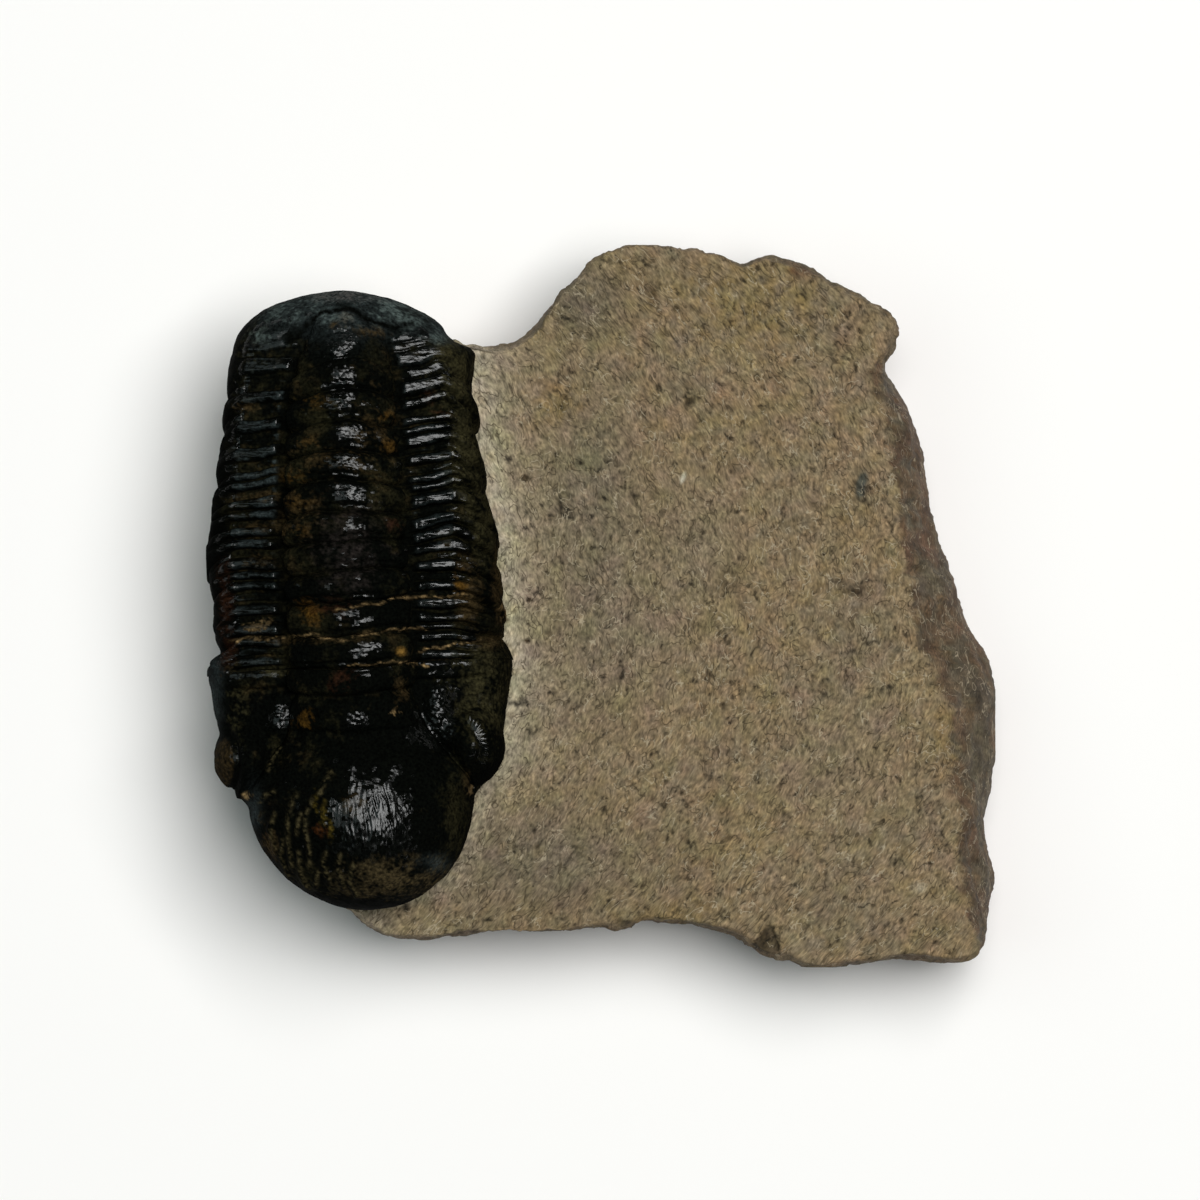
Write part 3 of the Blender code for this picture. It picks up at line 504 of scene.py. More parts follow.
def body_grid(y, zone, share, hand):
    """The plain body as a grid of points, rows by columns, and how far each is from the midline in pixels."""
    rounding, tip = end_rounding(y), tip_height(y)
    crest, floor, bend = (rounded_height(heights, y) for heights in (CREST, FURROW_FLOOR, BEND_HEIGHT))
    floor = floor + 0.75 * (crest - floor) * (1 - ease(308, 344, y))
    right = hand > 0

    def sided(left_list, right_list, at_left, at_right):
        return np.where(right, through(right_list, at_right), through(left_list, at_left))

    left_y = y + bow(-through(LEFT_EDGE, y), y, 1.0)
    right_y = y + bow(through(RIGHT_EDGE, y), y, 1.0)
    edge = sided(LEFT_EDGE, RIGHT_EDGE, left_y, right_y) * rounding
    furrow = np.minimum(sided(LEFT_FURROW, RIGHT_FURROW, y, y) * rounding, edge)
    bend_at = np.minimum(sided(LEFT_BEND, RIGHT_BEND, y, y) * rounding, edge)
    edge_height = sided(LEFT_EDGE_HEIGHT, RIGHT_EDGE_HEIGHT, y, y) * MM
    edge_height = tip + (edge_height - tip) * np.minimum(1, EDGE_HOLD * rounding)
    undercut = np.where(right, RIGHT_UNDERCUT, LEFT_UNDERCUT) / PIXEL * rounding

    angle = np.abs(share) * np.pi / 2
    zones = [zone == WALL, zone == FLANK, zone == SIDE, zone == AXIS]
    out = np.select(zones, [
        edge - undercut * (1 - np.cos(angle)),
        bend_at + (edge - bend_at) * np.sin(angle),
        furrow + (bend_at - furrow) * share,
        furrow * np.sin(angle),
    ])
    up = np.select(zones, [
        edge_height - (edge_height - underside(y)) * np.sin(angle),
        edge_height + (bend - edge_height) * np.cos(angle),
        floor + (bend - floor) * share + SIDE_BULGE * rounding * 4 * share * (1 - share),
        floor + (crest - floor) * np.cos(angle),
    ])
    # In front of the cheeks the whole row is one arch, from edge to edge.
    turn = np.select(zones[1:], [
        BEND_TURN + (90 - BEND_TURN) * share,
        FURROW_TURN + (BEND_TURN - FURROW_TURN) * share,
        FURROW_TURN * np.abs(share),
    ], 90.0)
    arched = ease(ARCHED_FROM, ARCHED_BY, y) * (zone != WALL)
    turn = np.radians(turn)
    out = out + (edge * np.sin(turn) - out) * arched
    up = up + (edge_height + (crest - edge_height) * np.cos(turn) - up) * arched

    across = hand * out
    sweep = through(TIP_SWEEP, y) * np.select(zones[:2], [1.0, share**2], 0.0) * rounding
    x = midline(y) + across
    forwards = y + bow(across, y, np.maximum(furrow, 1.0)) + sweep
    up = up + dome_height(x, forwards) * (zone != WALL)
    place_x, place_y = world(x, forwards)
    return np.stack([place_x, place_y, up + SLAB_THICKNESS], axis=-1), across


def dome_height(x, y):
    """Height that the eyes and the lobes beside them add."""
    total = 0.0
    for centre_x, centre_y, radius_x, radius_y, height in DOMES:
        away = ((x - centre_x) / radius_x) ** 2 + ((y - centre_y) / radius_y) ** 2
        total = total + height * MM * np.clip(1 - away, 0, 1) ** DOME_SOFTNESS
    return total


def band(t):
    """A flat-topped arch: 0 at t = 0 and t = 1, and 1 between them."""
    return 1 - np.abs(2 * t - 1) ** BAND_FLATNESS


def rib_height(y, ribs):
    """Height in metres of the highest of the flat-topped ribs at each y."""
    total = np.zeros(np.shape(y))
    for centre, half, height in ribs:
        total = np.maximum(total, height * MM * (1 - np.minimum(1, np.abs(y - centre) / half) ** RIB_FLATNESS))
    return total


def ridged(points, size, seed, width=0.42):
    """Thin winding ridges, 1 along their tops and 0 between them."""
    return 1 - np.minimum(1, np.abs(grain(points, size, seed)) / width)


def rib_relief(y, zone, share, hand, points):
    """Height of the body segments' ridges and furrows, in metres, and how deep in a furrow each place is."""
    on_axis, on_side, on_flank, on_wall = zone == AXIS, zone == SIDE, zone == FLANK, zone == WALL
    down = np.select([on_flank, on_wall], [share, 1.0], 0.0)
    place = y - np.where(hand > 0, RIB_SWEEP[1], RIB_SWEEP[0]) * down**1.6 * ease(352, 385, y)
    place = place + 3.0 * grain(points, 6 * MM, 11) + 1.6 * grain(points, 2.2 * MM, 12)
    plate = np.clip(np.searchsorted(JOINTS, place, side="right") - 1, 0, len(JOINTS) - 2)
    t = np.clip((place - JOINTS[plate]) / (JOINTS[plate + 1] - JOINTS[plate]), 0, 1)
    jitter = hashed(plate, 0 * plate, 5)

    rise = through(RIB_RISE, y) * np.select([on_side, on_flank], [share, 1 - ease(0.0, 0.6, share)], 0.0)
    bent = place + rise * (hand > 0) + 1.5 * grain(points, (3.0 * MM, 1.0 * MM, 3.0 * MM), 14)
    ribs = np.where(hand > 0, rib_height(bent, RIGHT_RIBS), rib_height(bent, LEFT_RIBS))
    merge = np.select([on_wall, on_flank], [1.0, ease(0.1, 0.6, share)], 0.0)
    one = band(t)
    size = np.select([on_wall, on_flank], [
        0.15 + 0.30 * ease(0.1, 0.6, share), 0.45 - 0.30 * ease(0.45, 1, share),
    ], 0.45) * MM * (1 + 0.2 * jitter)
    side = ribs - 0.24 * MM + (one * size - 0.58 * size - ribs + 0.24 * MM) * merge
    streaks = grain(points, (2.0 * MM, 0.26 * MM, 1.2 * MM), 15) + 0.6 * grain(points, (0.9 * MM, 0.17 * MM, MM), 16)
    side = side + 0.024 * MM * streaks * (1 - merge)
    outwards = MM * (np.where(hand > 0, 0.0, 0.30) * (0.5 - share) - 0.88 * share * (1 - share))
    side = side + outwards * on_side - 0.15 * MM * (1 - merge) * on_flank * (hand < 0)

    off_centre = np.abs(share)
    ring = band(t) - 0.6 - 0.25 * bump(t - 0.80, 0.08) * (1 - ease(0.5, 0.8, off_centre))
    ring = ring * AXIS_RING * (1 + 0.25 * jitter)
    ring = ring + 0.09 * MM * bump(off_centre - 0.80, 0.10) * bump(t - 0.42, 0.22)
    in_furrow = np.select([on_axis, on_side], [ease(0.62, 1.0, off_centre), 1 - ease(0.0, 0.2, share)])
    groove = -0.22 * MM - 0.14 * MM * bump(np.minimum(t, 1 - t), 0.16)
    relief = np.where(on_axis, ring, side)
    relief = relief + (groove - relief) * in_furrow
    shown = ribs / (0.42 * MM)
    cavity = np.clip(1 - np.where(on_axis, one, shown + (one - shown) * merge), 0, 1) ** 2
    cavity = np.maximum(cavity, 0.6 * in_furrow)

    tail = 1 - ease(338, 354, y)
    reach = np.select([on_axis, on_side], [0.0, ease(0.3, 0.8, share)], 1.0)
    strength = through(RIB_STRENGTH, y) * (1 - tail * reach)
    # Near the head the flanks are the hind corners of its cheeks.
    behind = np.where(hand > 0, CHEEK_REACH[1], CHEEK_REACH[0]) * down**1.5
    into_cheek = y - HEAD_FROM + behind + 1.6 * grain(points, 2 * MM, 13)
    cheek = ease(-1.5, 2.5, into_cheek) * ease(0.05, 0.3, down)
    relief = relief * strength * (1 - cheek) + 0.12 * MM * cheek
    relief = relief - 0.14 * MM * bump(into_cheek, 1.8) * ease(0.05, 0.3, down)
    return relief, cavity * strength * (1 - cheek)


def head_relief(y, zone, share, across, points):
    """Height of the head's rings, borders, wrinkles, pimples and eyes, and how deep in a furrow each place is."""
    x, forwards = plan(points)
    off_centre = np.abs(share)
    on_axis, on_side, on_flank = zone == AXIS, zone == SIDE, zone == FLANK
    on_cheek = on_side | on_flank
    place = y + 1.8 * grain(points, 3.5 * MM, 21) + 0.8 * grain(points, 1.2 * MM, 22)

    ring_one = 0.40 * band(np.clip((place - 666) / 24, 0, 1))
    ring_two = 0.34 * band(np.clip((place - 692) / 34, 0, 1)) * (1 - 0.4 * ease(0.45, 0.75, off_centre))
    furrows = 0.32 * bump(place - 691, 4.0) + 0.14 * bump(place - 731, 7.0) * (1 - ease(0.6, 0.9, off_centre))
    rings = 0.85 * (ring_one + ring_two - furrows - 0.12 * ease(660, 668, place)) * (1 - ease(722, 746, place))
    nodes = 0.22 * bump(off_centre - 0.84, 0.09) * (bump(place - 679, 8) + bump(place - 708, 9))
    axis = (rings + nodes) * (1 - ease(0.9, 1.0, off_centre))
    # A lip stands beside the furrow round the front of the head, which is deepest just inside it.
    beside_front = ease(700, 714, y) * (1 - ease(770, 792, y))
    axis = axis - 0.32 * bump(1 - off_centre, 0.045) * beside_front
    fade = np.where(on_side, 1.0, 1 - ease(0.15, 0.5, share))
    border = 0.20 * band(np.clip((place - 665.5) / 17, 0, 1)) - 0.26 * bump(place - 685, 3.6)
    lip = 0.16 * bump(share - 0.04, 0.05) * on_side * beside_front
    relief = np.select([on_axis, on_cheek], [axis, border * fade + lip], 0.0)
    cavity = np.where(on_axis, np.clip(2 * furrows, 0, 1) * (1 - ease(726, 742, place)), bump(place - 685, 3.6) * fade)
    cavity = np.maximum(cavity, bump(1 - off_centre, 0.05) * beside_front * on_axis)

    # Wavy wrinkles fan out over the swollen front of the head: fine at its top and coarse on its left.
    turn = np.arctan2(x - FAN[0], forwards - FAN[1])
    away = np.hypot(x - FAN[0], forwards - FAN[1]) * PIXEL
    fan = np.stack([turn * 215 * PIXEL, away, 0 * away], axis=-1)
    fan[..., 0] += 0.30 * MM * grain(fan, 2.0 * MM, 31)
    fine = ridged(fan, (0.34 * MM, 4.0 * MM, MM), 32) + 0.7 * ridged(fan, (0.21 * MM, 2.4 * MM, MM), 33)
    coarse = ridged(fan, (0.95 * MM, 4.0 * MM, MM), 34, 0.55) * (0.75 + 0.5 * grain(points, 1.4 * MM, 36))
    at_top = np.clip(blot(x, forwards, 372, 812, 50, 56) * (0.8 + 0.6 * grain(points, 2.5 * MM, 35)), 0, 1)
    at_left = np.clip(blot(x, forwards, 300, 838, 42, 58), 0, 1)
    relief = relief + (0.13 * (fine - 0.7) * at_top + 0.12 * (coarse - 0.4) * at_left) * on_axis
    relief = relief + 0.66 * blot(x, forwards, 384, 860, 46, 33)
    for wrinkle in WRINKLES:
        relief = relief + 0.18 * bump(line_distance(x, forwards, wrinkle), 2.6)

    # Pimples cover the lobes beside the eyes and the back of the swollen front.
    pimpled = blot(x, forwards, 439, 716, 11, 27) + 0.9 * blot(x, forwards, 283, 716, 10, 24)
    pimpled = pimpled + 0.55 * blot(x, forwards, 355, 752, 60, 18) + 0.55 * blot(x, forwards, 400, 870, 50, 20)
    pimpled = pimpled + 0.30 * on_side + 0.5 * blot(x, forwards, 358, 715, 22, 12) + 0.1 * on_axis
    pimples = bump(studs(x, forwards, 4.9, 41), 1.75) * (0.9 + 0.5 * grain(points, 0.9 * MM, 42))
    relief = relief + 0.13 * pimples * np.clip(pimpled, 0, 1)

    # The right eye has a beaded rim with a groove inside it, and rows of lenses down its outer side.
    outwards, around = (x - EYE_X) / EYE_ACROSS, (forwards - EYE_Y) / EYE_ALONG
    ring, angle = np.hypot(outwards, around), np.arctan2(around, outwards)
    facing = ease(-0.1, 0.3, outwards) * on_cheek * (1 - ease(0.25, 0.6, around))
    beads = 0.55 + 0.45 * np.cos(angle * 30 / BEAD_SPACING * 2 * math.pi)
    relief = relief + 0.27 * bump(ring - 1.0, 0.07) * beads * facing
    relief = relief - 0.36 * bump(ring - 0.78, 0.12) * facing + 0.06 * bump(ring - 0.55, 0.06) * facing
    height = points[..., 2] - SLAB_THICKNESS
    seen = ease(0.1, 0.4, outwards) * on_flank * ease(1.03, 1.12, ring) * (1 - ease(0.7, 1.0, np.abs(around)))
    seen = seen * ease(LENS_BOTTOM, LENS_BOTTOM + 0.6 * MM, height)
    lens = bump(studs(angle * 30 * PIXEL, height, LENS_SPACING, 51, jitter=0.04), 0.15 * MM)
    relief = relief + 0.07 * lens * seen
    cavity = np.maximum(cavity, bump(ring - 0.78, 0.12) * facing)

    worn = np.hypot((x - WORN_X) / WORN_ACROSS, (forwards - WORN_Y) / WORN_ALONG)
    inner = ease(-0.2, 0.4, (x - WORN_X) / WORN_ACROSS) * on_cheek
    relief = relief - 0.30 * bump(worn - 1.3, 0.22) * inner + 0.18 * bump(worn - 1.85, 0.2) * inner
    relief = relief + 0.10 * np.clip(1 - worn**2, 0, 1) * on_cheek
    cavity = np.maximum(cavity, bump(worn - 1.3, 0.22) * inner)
    return relief * MM, np.clip(cavity, 0, 1)


def shell_texture(points):
    """The uneven, slightly lumpy surface that the whole shell has, in metres."""
    return MM * (
        0.10 * grain(points, 5 * MM, 61)
        + 0.06 * grain(points, 1.9 * MM, 62)
        + 0.030 * grain(points, 0.8 * MM, 63)
        + 0.016 * grain(points, 0.4 * MM, 64)
    )


def spread(x, y, spots):
    """Sum of the soft spots (x, y, radius across, radius along) at each place, between 0 and 1."""
    return np.clip(sum(blot(x, y, *spot) for spot in spots), 0, 1)


def crust_cover(points, x, y, zone, share, hand, cavity):
    """How much of each place is under the dull brown crust that the stone left on the shell, from 0 to 1."""
    usual = np.select([zone == AXIS, zone == SIDE, zone == FLANK], [
        0.42 - 0.30 * ease(-0.35, 0.1, share) + 0.30 * ease(0.25, 0.6, share),
        np.where(hand > 0, 0.12, 0.12), np.where(hand > 0, 0.24 + 0.30 * share, 0.0),
    ], 0.3)
    usual = usual - 0.35 * ease(HEAD_FROM + 30, HEAD_FROM + 60, y)
    usual = usual + 0.25 * cavity + 0.35 * blot(x, y, 395, 880, 70, 26) + 0.10 * blot(x, y, 292, 860, 30, 40)
    usual = usual + 0.30 * blot(x, y, 258, 700, 22, 34) + 0.10 * blot(x, y, 300, 770, 40, 24)
    usual = usual - 0.35 * blot(x, y, 372, 812, 44, 48) - 0.5 * spread(x, y, PAINTED_SHEEN_SKIN) - 0.3 * (y < 340)
    cloud = layered(points, 2.8 * MM, 71)
    speck = layered(points, 0.5 * MM, 75)
    return np.clip(1.3 * (usual + 0.60 * cloud + 0.30 * speck - 0.36), 0, 1)


def shell_colour(points, crust, zone, share, hand, raised):
    """Colour of the shell: black, with brown stone dust and crust, patches in several tints and pale veins, a painted
    blue-grey reflection on smooth skin and rib tops, and painted shade in the axis's hollows and along the tail's
    furrow.
    """
    x, y = plan(points)
    colour = np.broadcast_to(np.array(SHELL), (*x.shape, 3)).copy()

    def tint(amount, target):
        amount = np.clip(amount, 0, 1)[..., None]
        colour[:] = colour * (1 - amount) + np.array(target) * amount

    cloud = layered(points, 1.8 * MM, 81)
    speck = layered(points, 0.40 * MM, 85)
    # Painted reflection: the smooth skin tinted blue-grey.
    sheen = spread(x, y, PAINTED_SHEEN_SKIN)
    tint(sheen * (0.75 + 0.6 * cloud), REFLECTION_GREY)
    tint(crust * (0.75 + 0.35 * speck), OLIVE)
    tint(0.7 * crust * np.clip(1.3 * cloud + 0.5 * speck - 0.2, 0, 1), BROWN)
    for patch_x, patch_y, radius_x, radius_y, target, strength in PATCHES:
        spot = blot(x, y, patch_x, patch_y, radius_x, radius_y)
        tint(1.1 * (0.8 * strength * spot + (0.60 * cloud + 0.60 * speck) * np.sqrt(spot) - 0.22), target)
    # Painted shade: the tail's furrow turned back to black along its line.
    arch = bump(line_distance(x + 3 * cloud, y + 2.5 * cloud, TAIL_FURROW), 2.8)
    tint(1.1 * arch * (1 + 0.8 * speck), SHELL)
    tint(2.2 * blot(x, y, 403, 651, 6.5, 6.5) - 0.9, SPOT)
    for wrinkle in WRINKLES:
        tint((0.45 + 0.9 * speck) * bump(line_distance(x, y, wrinkle), 2.0), WRINKLE_TOPS)
    # Painted reflection: the tops of the ribs tinted blue-grey, fully on the left and less on the right.
    tops = ease(0.03, 0.10, raised / MM) * (zone == SIDE) * ease(0.05, 0.2, share) * (y < HEAD_FROM)
    tops = tops * np.where(hand < 0, 1.0, 0.4)
    tint(tops * (0.38 + 0.9 * cloud + 0.5 * speck) * (1 - 0.5 * ease(520, 600, y)), REFLECTION_GREY)
    # Painted shade: the axis's hollows turned back to black.
    tint(0.75 * ease(0.03, 0.14, -raised / MM) * (zone == AXIS), SHELL)
    worn = np.hypot((x - WORN_X) / WORN_ACROSS, (y - WORN_Y) / WORN_ALONG)
    tint((1 - ease(0.8, 1.05, worn)) * (0.62 + 0.6 * speck) * (zone != WALL), BROWN)
    for vein in VEINS:
        width = VEIN_WIDTH * (1 + 0.6 * speck)
        tint((0.38 + 0.7 * speck) * bump(line_distance(x, y + 2.5 * cloud, vein), width), TAN)
    return colour


def shell_polish(points, x, y, zone, share, hand, cavity):
    """How well polished the shell is: on its ribs, down its crest and on the high parts of its head."""
    crest = (0.49 * bump(share - 0.01, 0.18) + 0.21 * bump(share - 0.15, 0.5)) * (1 - 0.4 * ease(500, 540, y))
    side = np.where(hand > 0, 0.95 * ease(0.02, 0.14, share), 0.85 * ease(0.02, 0.16, share))
    flank = np.where(hand > 0, 0.8 * (1 - ease(0.1, 0.45, share)), 0.75 - 0.6 * ease(0.1, 0.8, share))
    body = np.select([zone == AXIS, zone == SIDE, zone == FLANK], [crest, side, flank], 0.0)
    hollow = np.where(hand > 0, 0.65, 0.9) * cavity * (zone == SIDE)
    body = np.maximum(body - hollow, 0.55 * spread(x, y, PAINTED_SHEEN_SKIN))
    body = body - 0.8 * blot(x, y, 390, 332, 22, 9) - 1.2 * bump(line_distance(x, y, TAIL_FURROW), 6)
    for hook in HOOKS:
        body = np.maximum(body, 1.1 * bump(line_distance(x, y, hook), 3.4))
    for knob in KNOBS:
        body = np.maximum(body, 1.3 * blot(x, y, *knob, 4.2, 4.2))
    head = np.maximum(spread(x, y, POLISHED), 1.3 * bump(line_distance(x, y, LIP), 3.0))
    wanted = body + (head - body) * ease(HEAD_FROM - 4, HEAD_FROM + 2, y)
    return wanted + 0.34 * layered(points, 1.6 * MM, 91) + 0.28 * layered(points, 0.5 * MM, 95)


def shell_dullness(points, colour, crust, steep, polish):
    """How dull the shell is, from 0 where it is polished to 1 where it is crusted, stained, steep or plain."""
    stained = np.clip((colour.mean(axis=-1) - 0.006) / 0.03, 0, 1)
    steep = steep * (1 + 0.5 * grain(points, 0.7 * MM, 99))
    return np.clip(np.maximum(np.maximum(stained, crust) + steep, 1.5 * (0.75 - polish)), 0, 1)


def add_mesh(name, vertices, faces, normals, colour, **amounts):
    """A new object with a normal, a colour and the named amounts stored at each vertex."""
    mesh = bpy.data.meshes.new(name)
    mesh.from_pydata(np.clip(vertices, BOX_LOW, BOX_HIGH).tolist(), [], faces)
    mesh.update()
    tint = mesh.color_attributes.new("tint", "FLOAT_COLOR", "POINT")
    tint.data.foreach_set("color", np.concatenate([colour, np.ones((len(colour), 1))], axis=1).ravel())
    for key, values in amounts.items():
        mesh.attributes.new(key, "FLOAT", "POINT").data.foreach_set("value", np.asarray(values, float).ravel())
    mesh.shade_smooth()
    mesh.normals_split_custom_set_from_vertices(normals.tolist())
    made = bpy.data.objects.new(name, mesh)
    bpy.context.scene.collection.objects.link(made)
    return made


def lofted_faces(rows, columns_round):
    """Faces between closed rings of points, with a fan to one more point at each end."""
    index = np.arange(rows * columns_round).reshape(rows, columns_round)
    following = np.roll(index, -1, axis=1)
    quads = np.stack([index[:-1], index[1:], following[1:], following[:-1]], axis=-1).reshape(-1, 4)
    start, end = rows * columns_round, rows * columns_round + 1
    first = [(start, a, b) for a, b in zip(index[0].tolist(), following[0].tolist())]
    last = [(end, b, a) for a, b in zip(index[-1].tolist(), following[-1].tolist())]
    return quads.tolist() + first + last


def grid_normals(points):
    """Outward normals of a grid of points whose rows run forwards and whose columns run to the right."""
    normal = np.cross(np.gradient(points, axis=0), np.gradient(points, axis=1))
    return normal / np.maximum(np.linalg.norm(normal, axis=-1, keepdims=True), 1e-12)


def eased_across(points, passes):
    """A grid of points with the creases that run along the body rounded off."""
    points = points.copy()
    for _ in range(passes):
        points[:, 1:-1] = 0.5 * points[:, 1:-1] + 0.25 * (points[:, :-2] + points[:, 2:])
    return points


def make_shell(names, y, cuts, counts, under_columns, passes):
    """One length of the trilobite as closed meshes, from a row for each y, parted at the rows in cuts."""
    zone, share, hand = columns(*counts)
    y = np.asarray(y, float)[:, None]
    points, across = body_grid(y, zone, share, hand)
    points = eased_across(points, passes)
    normal = grid_normals(points)

    row = np.broadcast_to(y, points.shape[:2])
    zone, share, hand = (np.broadcast_to(values, row.shape) for values in (zone, share, hand))
    if row[-1, 0] > HEAD_FROM:
        relief, cavity = head_relief(row, zone, share, across, points)
    else:
        relief, cavity = rib_relief(row, zone, share, hand, points)
    x, forwards = plan(points)
    crust = crust_cover(points, x, forwards, zone, share, hand, cavity)
    relief = relief + shell_texture(points)
    if row[-1, 0] <= HEAD_FROM:
        lumps = 0.06 * grain(points, 0.7 * MM, 67) + 0.10 * bump(studs(x, forwards, 4.8, 68), 1.7)
        relief = relief + lumps * MM * (zone == AXIS)
    relief = relief + crust * MM * (0.02 + 0.06 * grain(points, 0.5 * MM, 65) + 0.035 * grain(points, 0.25 * MM, 66))
    for vein in VEINS:
        relief = relief - 0.05 * MM * bump(line_distance(x, forwards, vein), VEIN_WIDTH)
    relief = relief - 0.22 * MM * bump(line_distance(x, forwards, TAIL_FURROW), 3.2)
    for knob in KNOBS:
        relief = relief + 0.24 * MM * blot(x, forwards, *knob, 3.4, 3.4)
    relief = relief + 0.14 * MM * bump(line_distance(x, forwards, LIP), 2.4)
    for hook in HOOKS:
        relief = relief + 0.20 * MM * bump(line_distance(x, forwards, hook), 2.6)
    relief = relief * np.minimum(1, 3 * end_rounding(y))
    points = points + normal * relief[..., None]
    normal = grid_normals(points)

    raised = relief - eased_across(eased_across(relief[..., None], 8).swapaxes(0, 1), 8).swapaxes(0, 1)[..., 0]
    colour = shell_colour(points, crust, zone, share, hand, raised)
    polish = shell_polish(points, x, forwards, zone, share, hand, cavity)
    dull = shell_dullness(points, colour, crust, 1 - ease(0.50, 0.80, normal[..., 2]), polish)

    # The underside is flat, from the foot of the right wall back to that of the left.
    step = (np.arange(1, under_columns) / under_columns)[None, :, None]
    under = points[:, -1:] + (points[:, :1] - points[:, -1:]) * step
    points = np.concatenate([points, under], axis=1)
    normal = np.concatenate([normal, np.broadcast_to((0, 0, -1.0), under.shape)], axis=1)
    colour = np.concatenate([colour, np.broadcast_to(np.array(OLIVE), under.shape)], axis=1)
    dull = np.concatenate([dull, np.ones(under.shape[:2])], axis=1)

    made = []
    for name, start, end in zip(names, [0, *cuts], [*cuts, len(points) - 1]):
        part = slice(start, end + 1)
        caps = np.stack([cap_centre(points[row], y[row, 0]) for row in (start, end)])
        cap_normals = np.array([(0, 1.0, 0), (0, -1.0, 0)])
        made.append(add_mesh(
            name,
            np.concatenate([points[part].reshape(-1, 3), caps]),
            lofted_faces(end + 1 - start, points.shape[1]),
            np.concatenate([normal[part].reshape(-1, 3), cap_normals]),
            np.concatenate([colour[part].reshape(-1, 3), colour[start, :1], colour[end, :1]]),
            dull=np.concatenate([dull[part].ravel(), dull[start, :1], dull[end, :1]]),
        ))
        around = np.roll(dull[part], -1, axis=1)
        mean = (dull[part][:-1] + dull[part][1:] + around[:-1] + around[1:]) / 4
        crusted = np.concatenate([(mean > DULL_FROM).ravel(), np.ones(2 * points.shape[1], bool)])
        made[-1].data.polygons.foreach_set("material_index", crusted.astype(np.int32))
    return made


def cap_centre(ring, y):
    """The point that closes a length of the body at y: its tip, or else the middle of its last ring."""
    tail, head = towards_tips(y)
    if max(tail, head) < 0.98:
        return ring.mean(axis=0)
    tip_y = TAIL_Y if tail > head else HEAD_Y
    return np.array([*world(float(midline(tip_y)), tip_y), float(tip_height(tip_y)) + SLAB_THICKNESS])


def make_trilobite():
    """The tail and body in one mesh and the head in two, which meet in the furrow behind the head."""
    tail = TAIL_ROUND_FROM - (TAIL_ROUND_FROM - TAIL_Y) * np.cos(np.linspace(0.09, np.pi / 2, 60))
    body = np.concatenate([tail, np.linspace(TAIL_ROUND_FROM, HEAD_FROM, 330)[1:]])
    front = HEAD_ROUND_FROM + (HEAD_Y - HEAD_ROUND_FROM) * np.sin(np.linspace(0, np.pi / 2 - 0.06, 130))
    head = np.concatenate([np.linspace(HEAD_FROM, HEAD_ROUND_FROM, 160)[:-1], front])
    made = make_shell(["trilobite_body"], body, [], (10, 38, 30, 84), 8, 12)
    return made + make_shell(["trilobite_cheeks", "trilobite_front"], head, [145], (10, 46, 50, 200), 8, 24)


def resampled(points, count):
    """Evenly spaced places along an open line of plan points, both ends included."""
    points = np.array(points, float)
    along = np.concatenate([[0], np.cumsum(np.hypot(*np.diff(points, axis=0).T))])
    places = np.linspace(0, along[-1], count)
    return np.stack([np.interp(places, along, points[:, i]) for i in (0, 1)], axis=1)


def softened(points, passes):
    """A closed outline with its corners eased, each point drawn half way to its neighbours' middle."""
    for _ in range(passes):
        points = 0.5 * points + 0.25 * (np.roll(points, 1, axis=0) + np.roll(points, -1, axis=0))
    return points


def inset(points, distance):
    """Each point of a closed clockwise outline moved inwards by a distance, in pixels."""
    along = np.roll(points, -2, axis=0) - np.roll(points, 2, axis=0)
    along /= np.maximum(np.hypot(*along.T), 1e-9)[:, None]
    return points + np.stack([-along[:, 1], along[:, 0]], axis=1) * np.reshape(distance, (-1, 1))


def slab_outlines():
    """The slab's outline and the edge of its top face, with matching points, in pixels."""
    counts = (190, 230, 420)
    start, end = resampled(SLAB_START, counts[0]), resampled(SLAB_END, counts[2])
    gap_right = resampled([SLAB_START[-1], *SLAB_RIGHT, SLAB_END[0]], counts[1] + 2)[1:-1]
    gap_top = resampled([SLAB_START[-1], *TOP_RIGHT, SLAB_END[0]], counts[1] + 2)[1:-1]
    outline = softened(np.concatenate([start, gap_right, end]), 6)
    return outline, softened(np.concatenate([start, gap_top, end]), 6)


def trilobite_reach(x, y):
    """Distance in pixels that a place on the slab is outside the trilobite's outline: below 0 is under it."""
    row = np.clip(y, TAIL_Y, HEAD_Y)
    across = x - midline(row)
    edge = np.where(across > 0, through(RIGHT_EDGE, row), through(LEFT_EDGE, row)) * end_rounding(row)
    beyond = np.maximum(TAIL_Y - y, y - HEAD_Y)
    return np.maximum(np.abs(across) - edge, beyond)


def chip_cover(x, y, points):
    """1 inside the dark chip's outline and 0 outside it."""
    depth = np.full(x.shape, 1e9)
    for (ax, ay), (bx, by) in zip(CHIP_CORNERS, CHIP_CORNERS[1:] + CHIP_CORNERS[:1]):
        off_line = ((bx - ax) * (y - ay) - (by - ay) * (x - ax)) / math.hypot(bx - ax, by - ay)
        depth = np.minimum(depth, off_line)
    return ease(-0.6, 1.0, depth + 1.4 * grain(points, 0.5 * MM, 107))


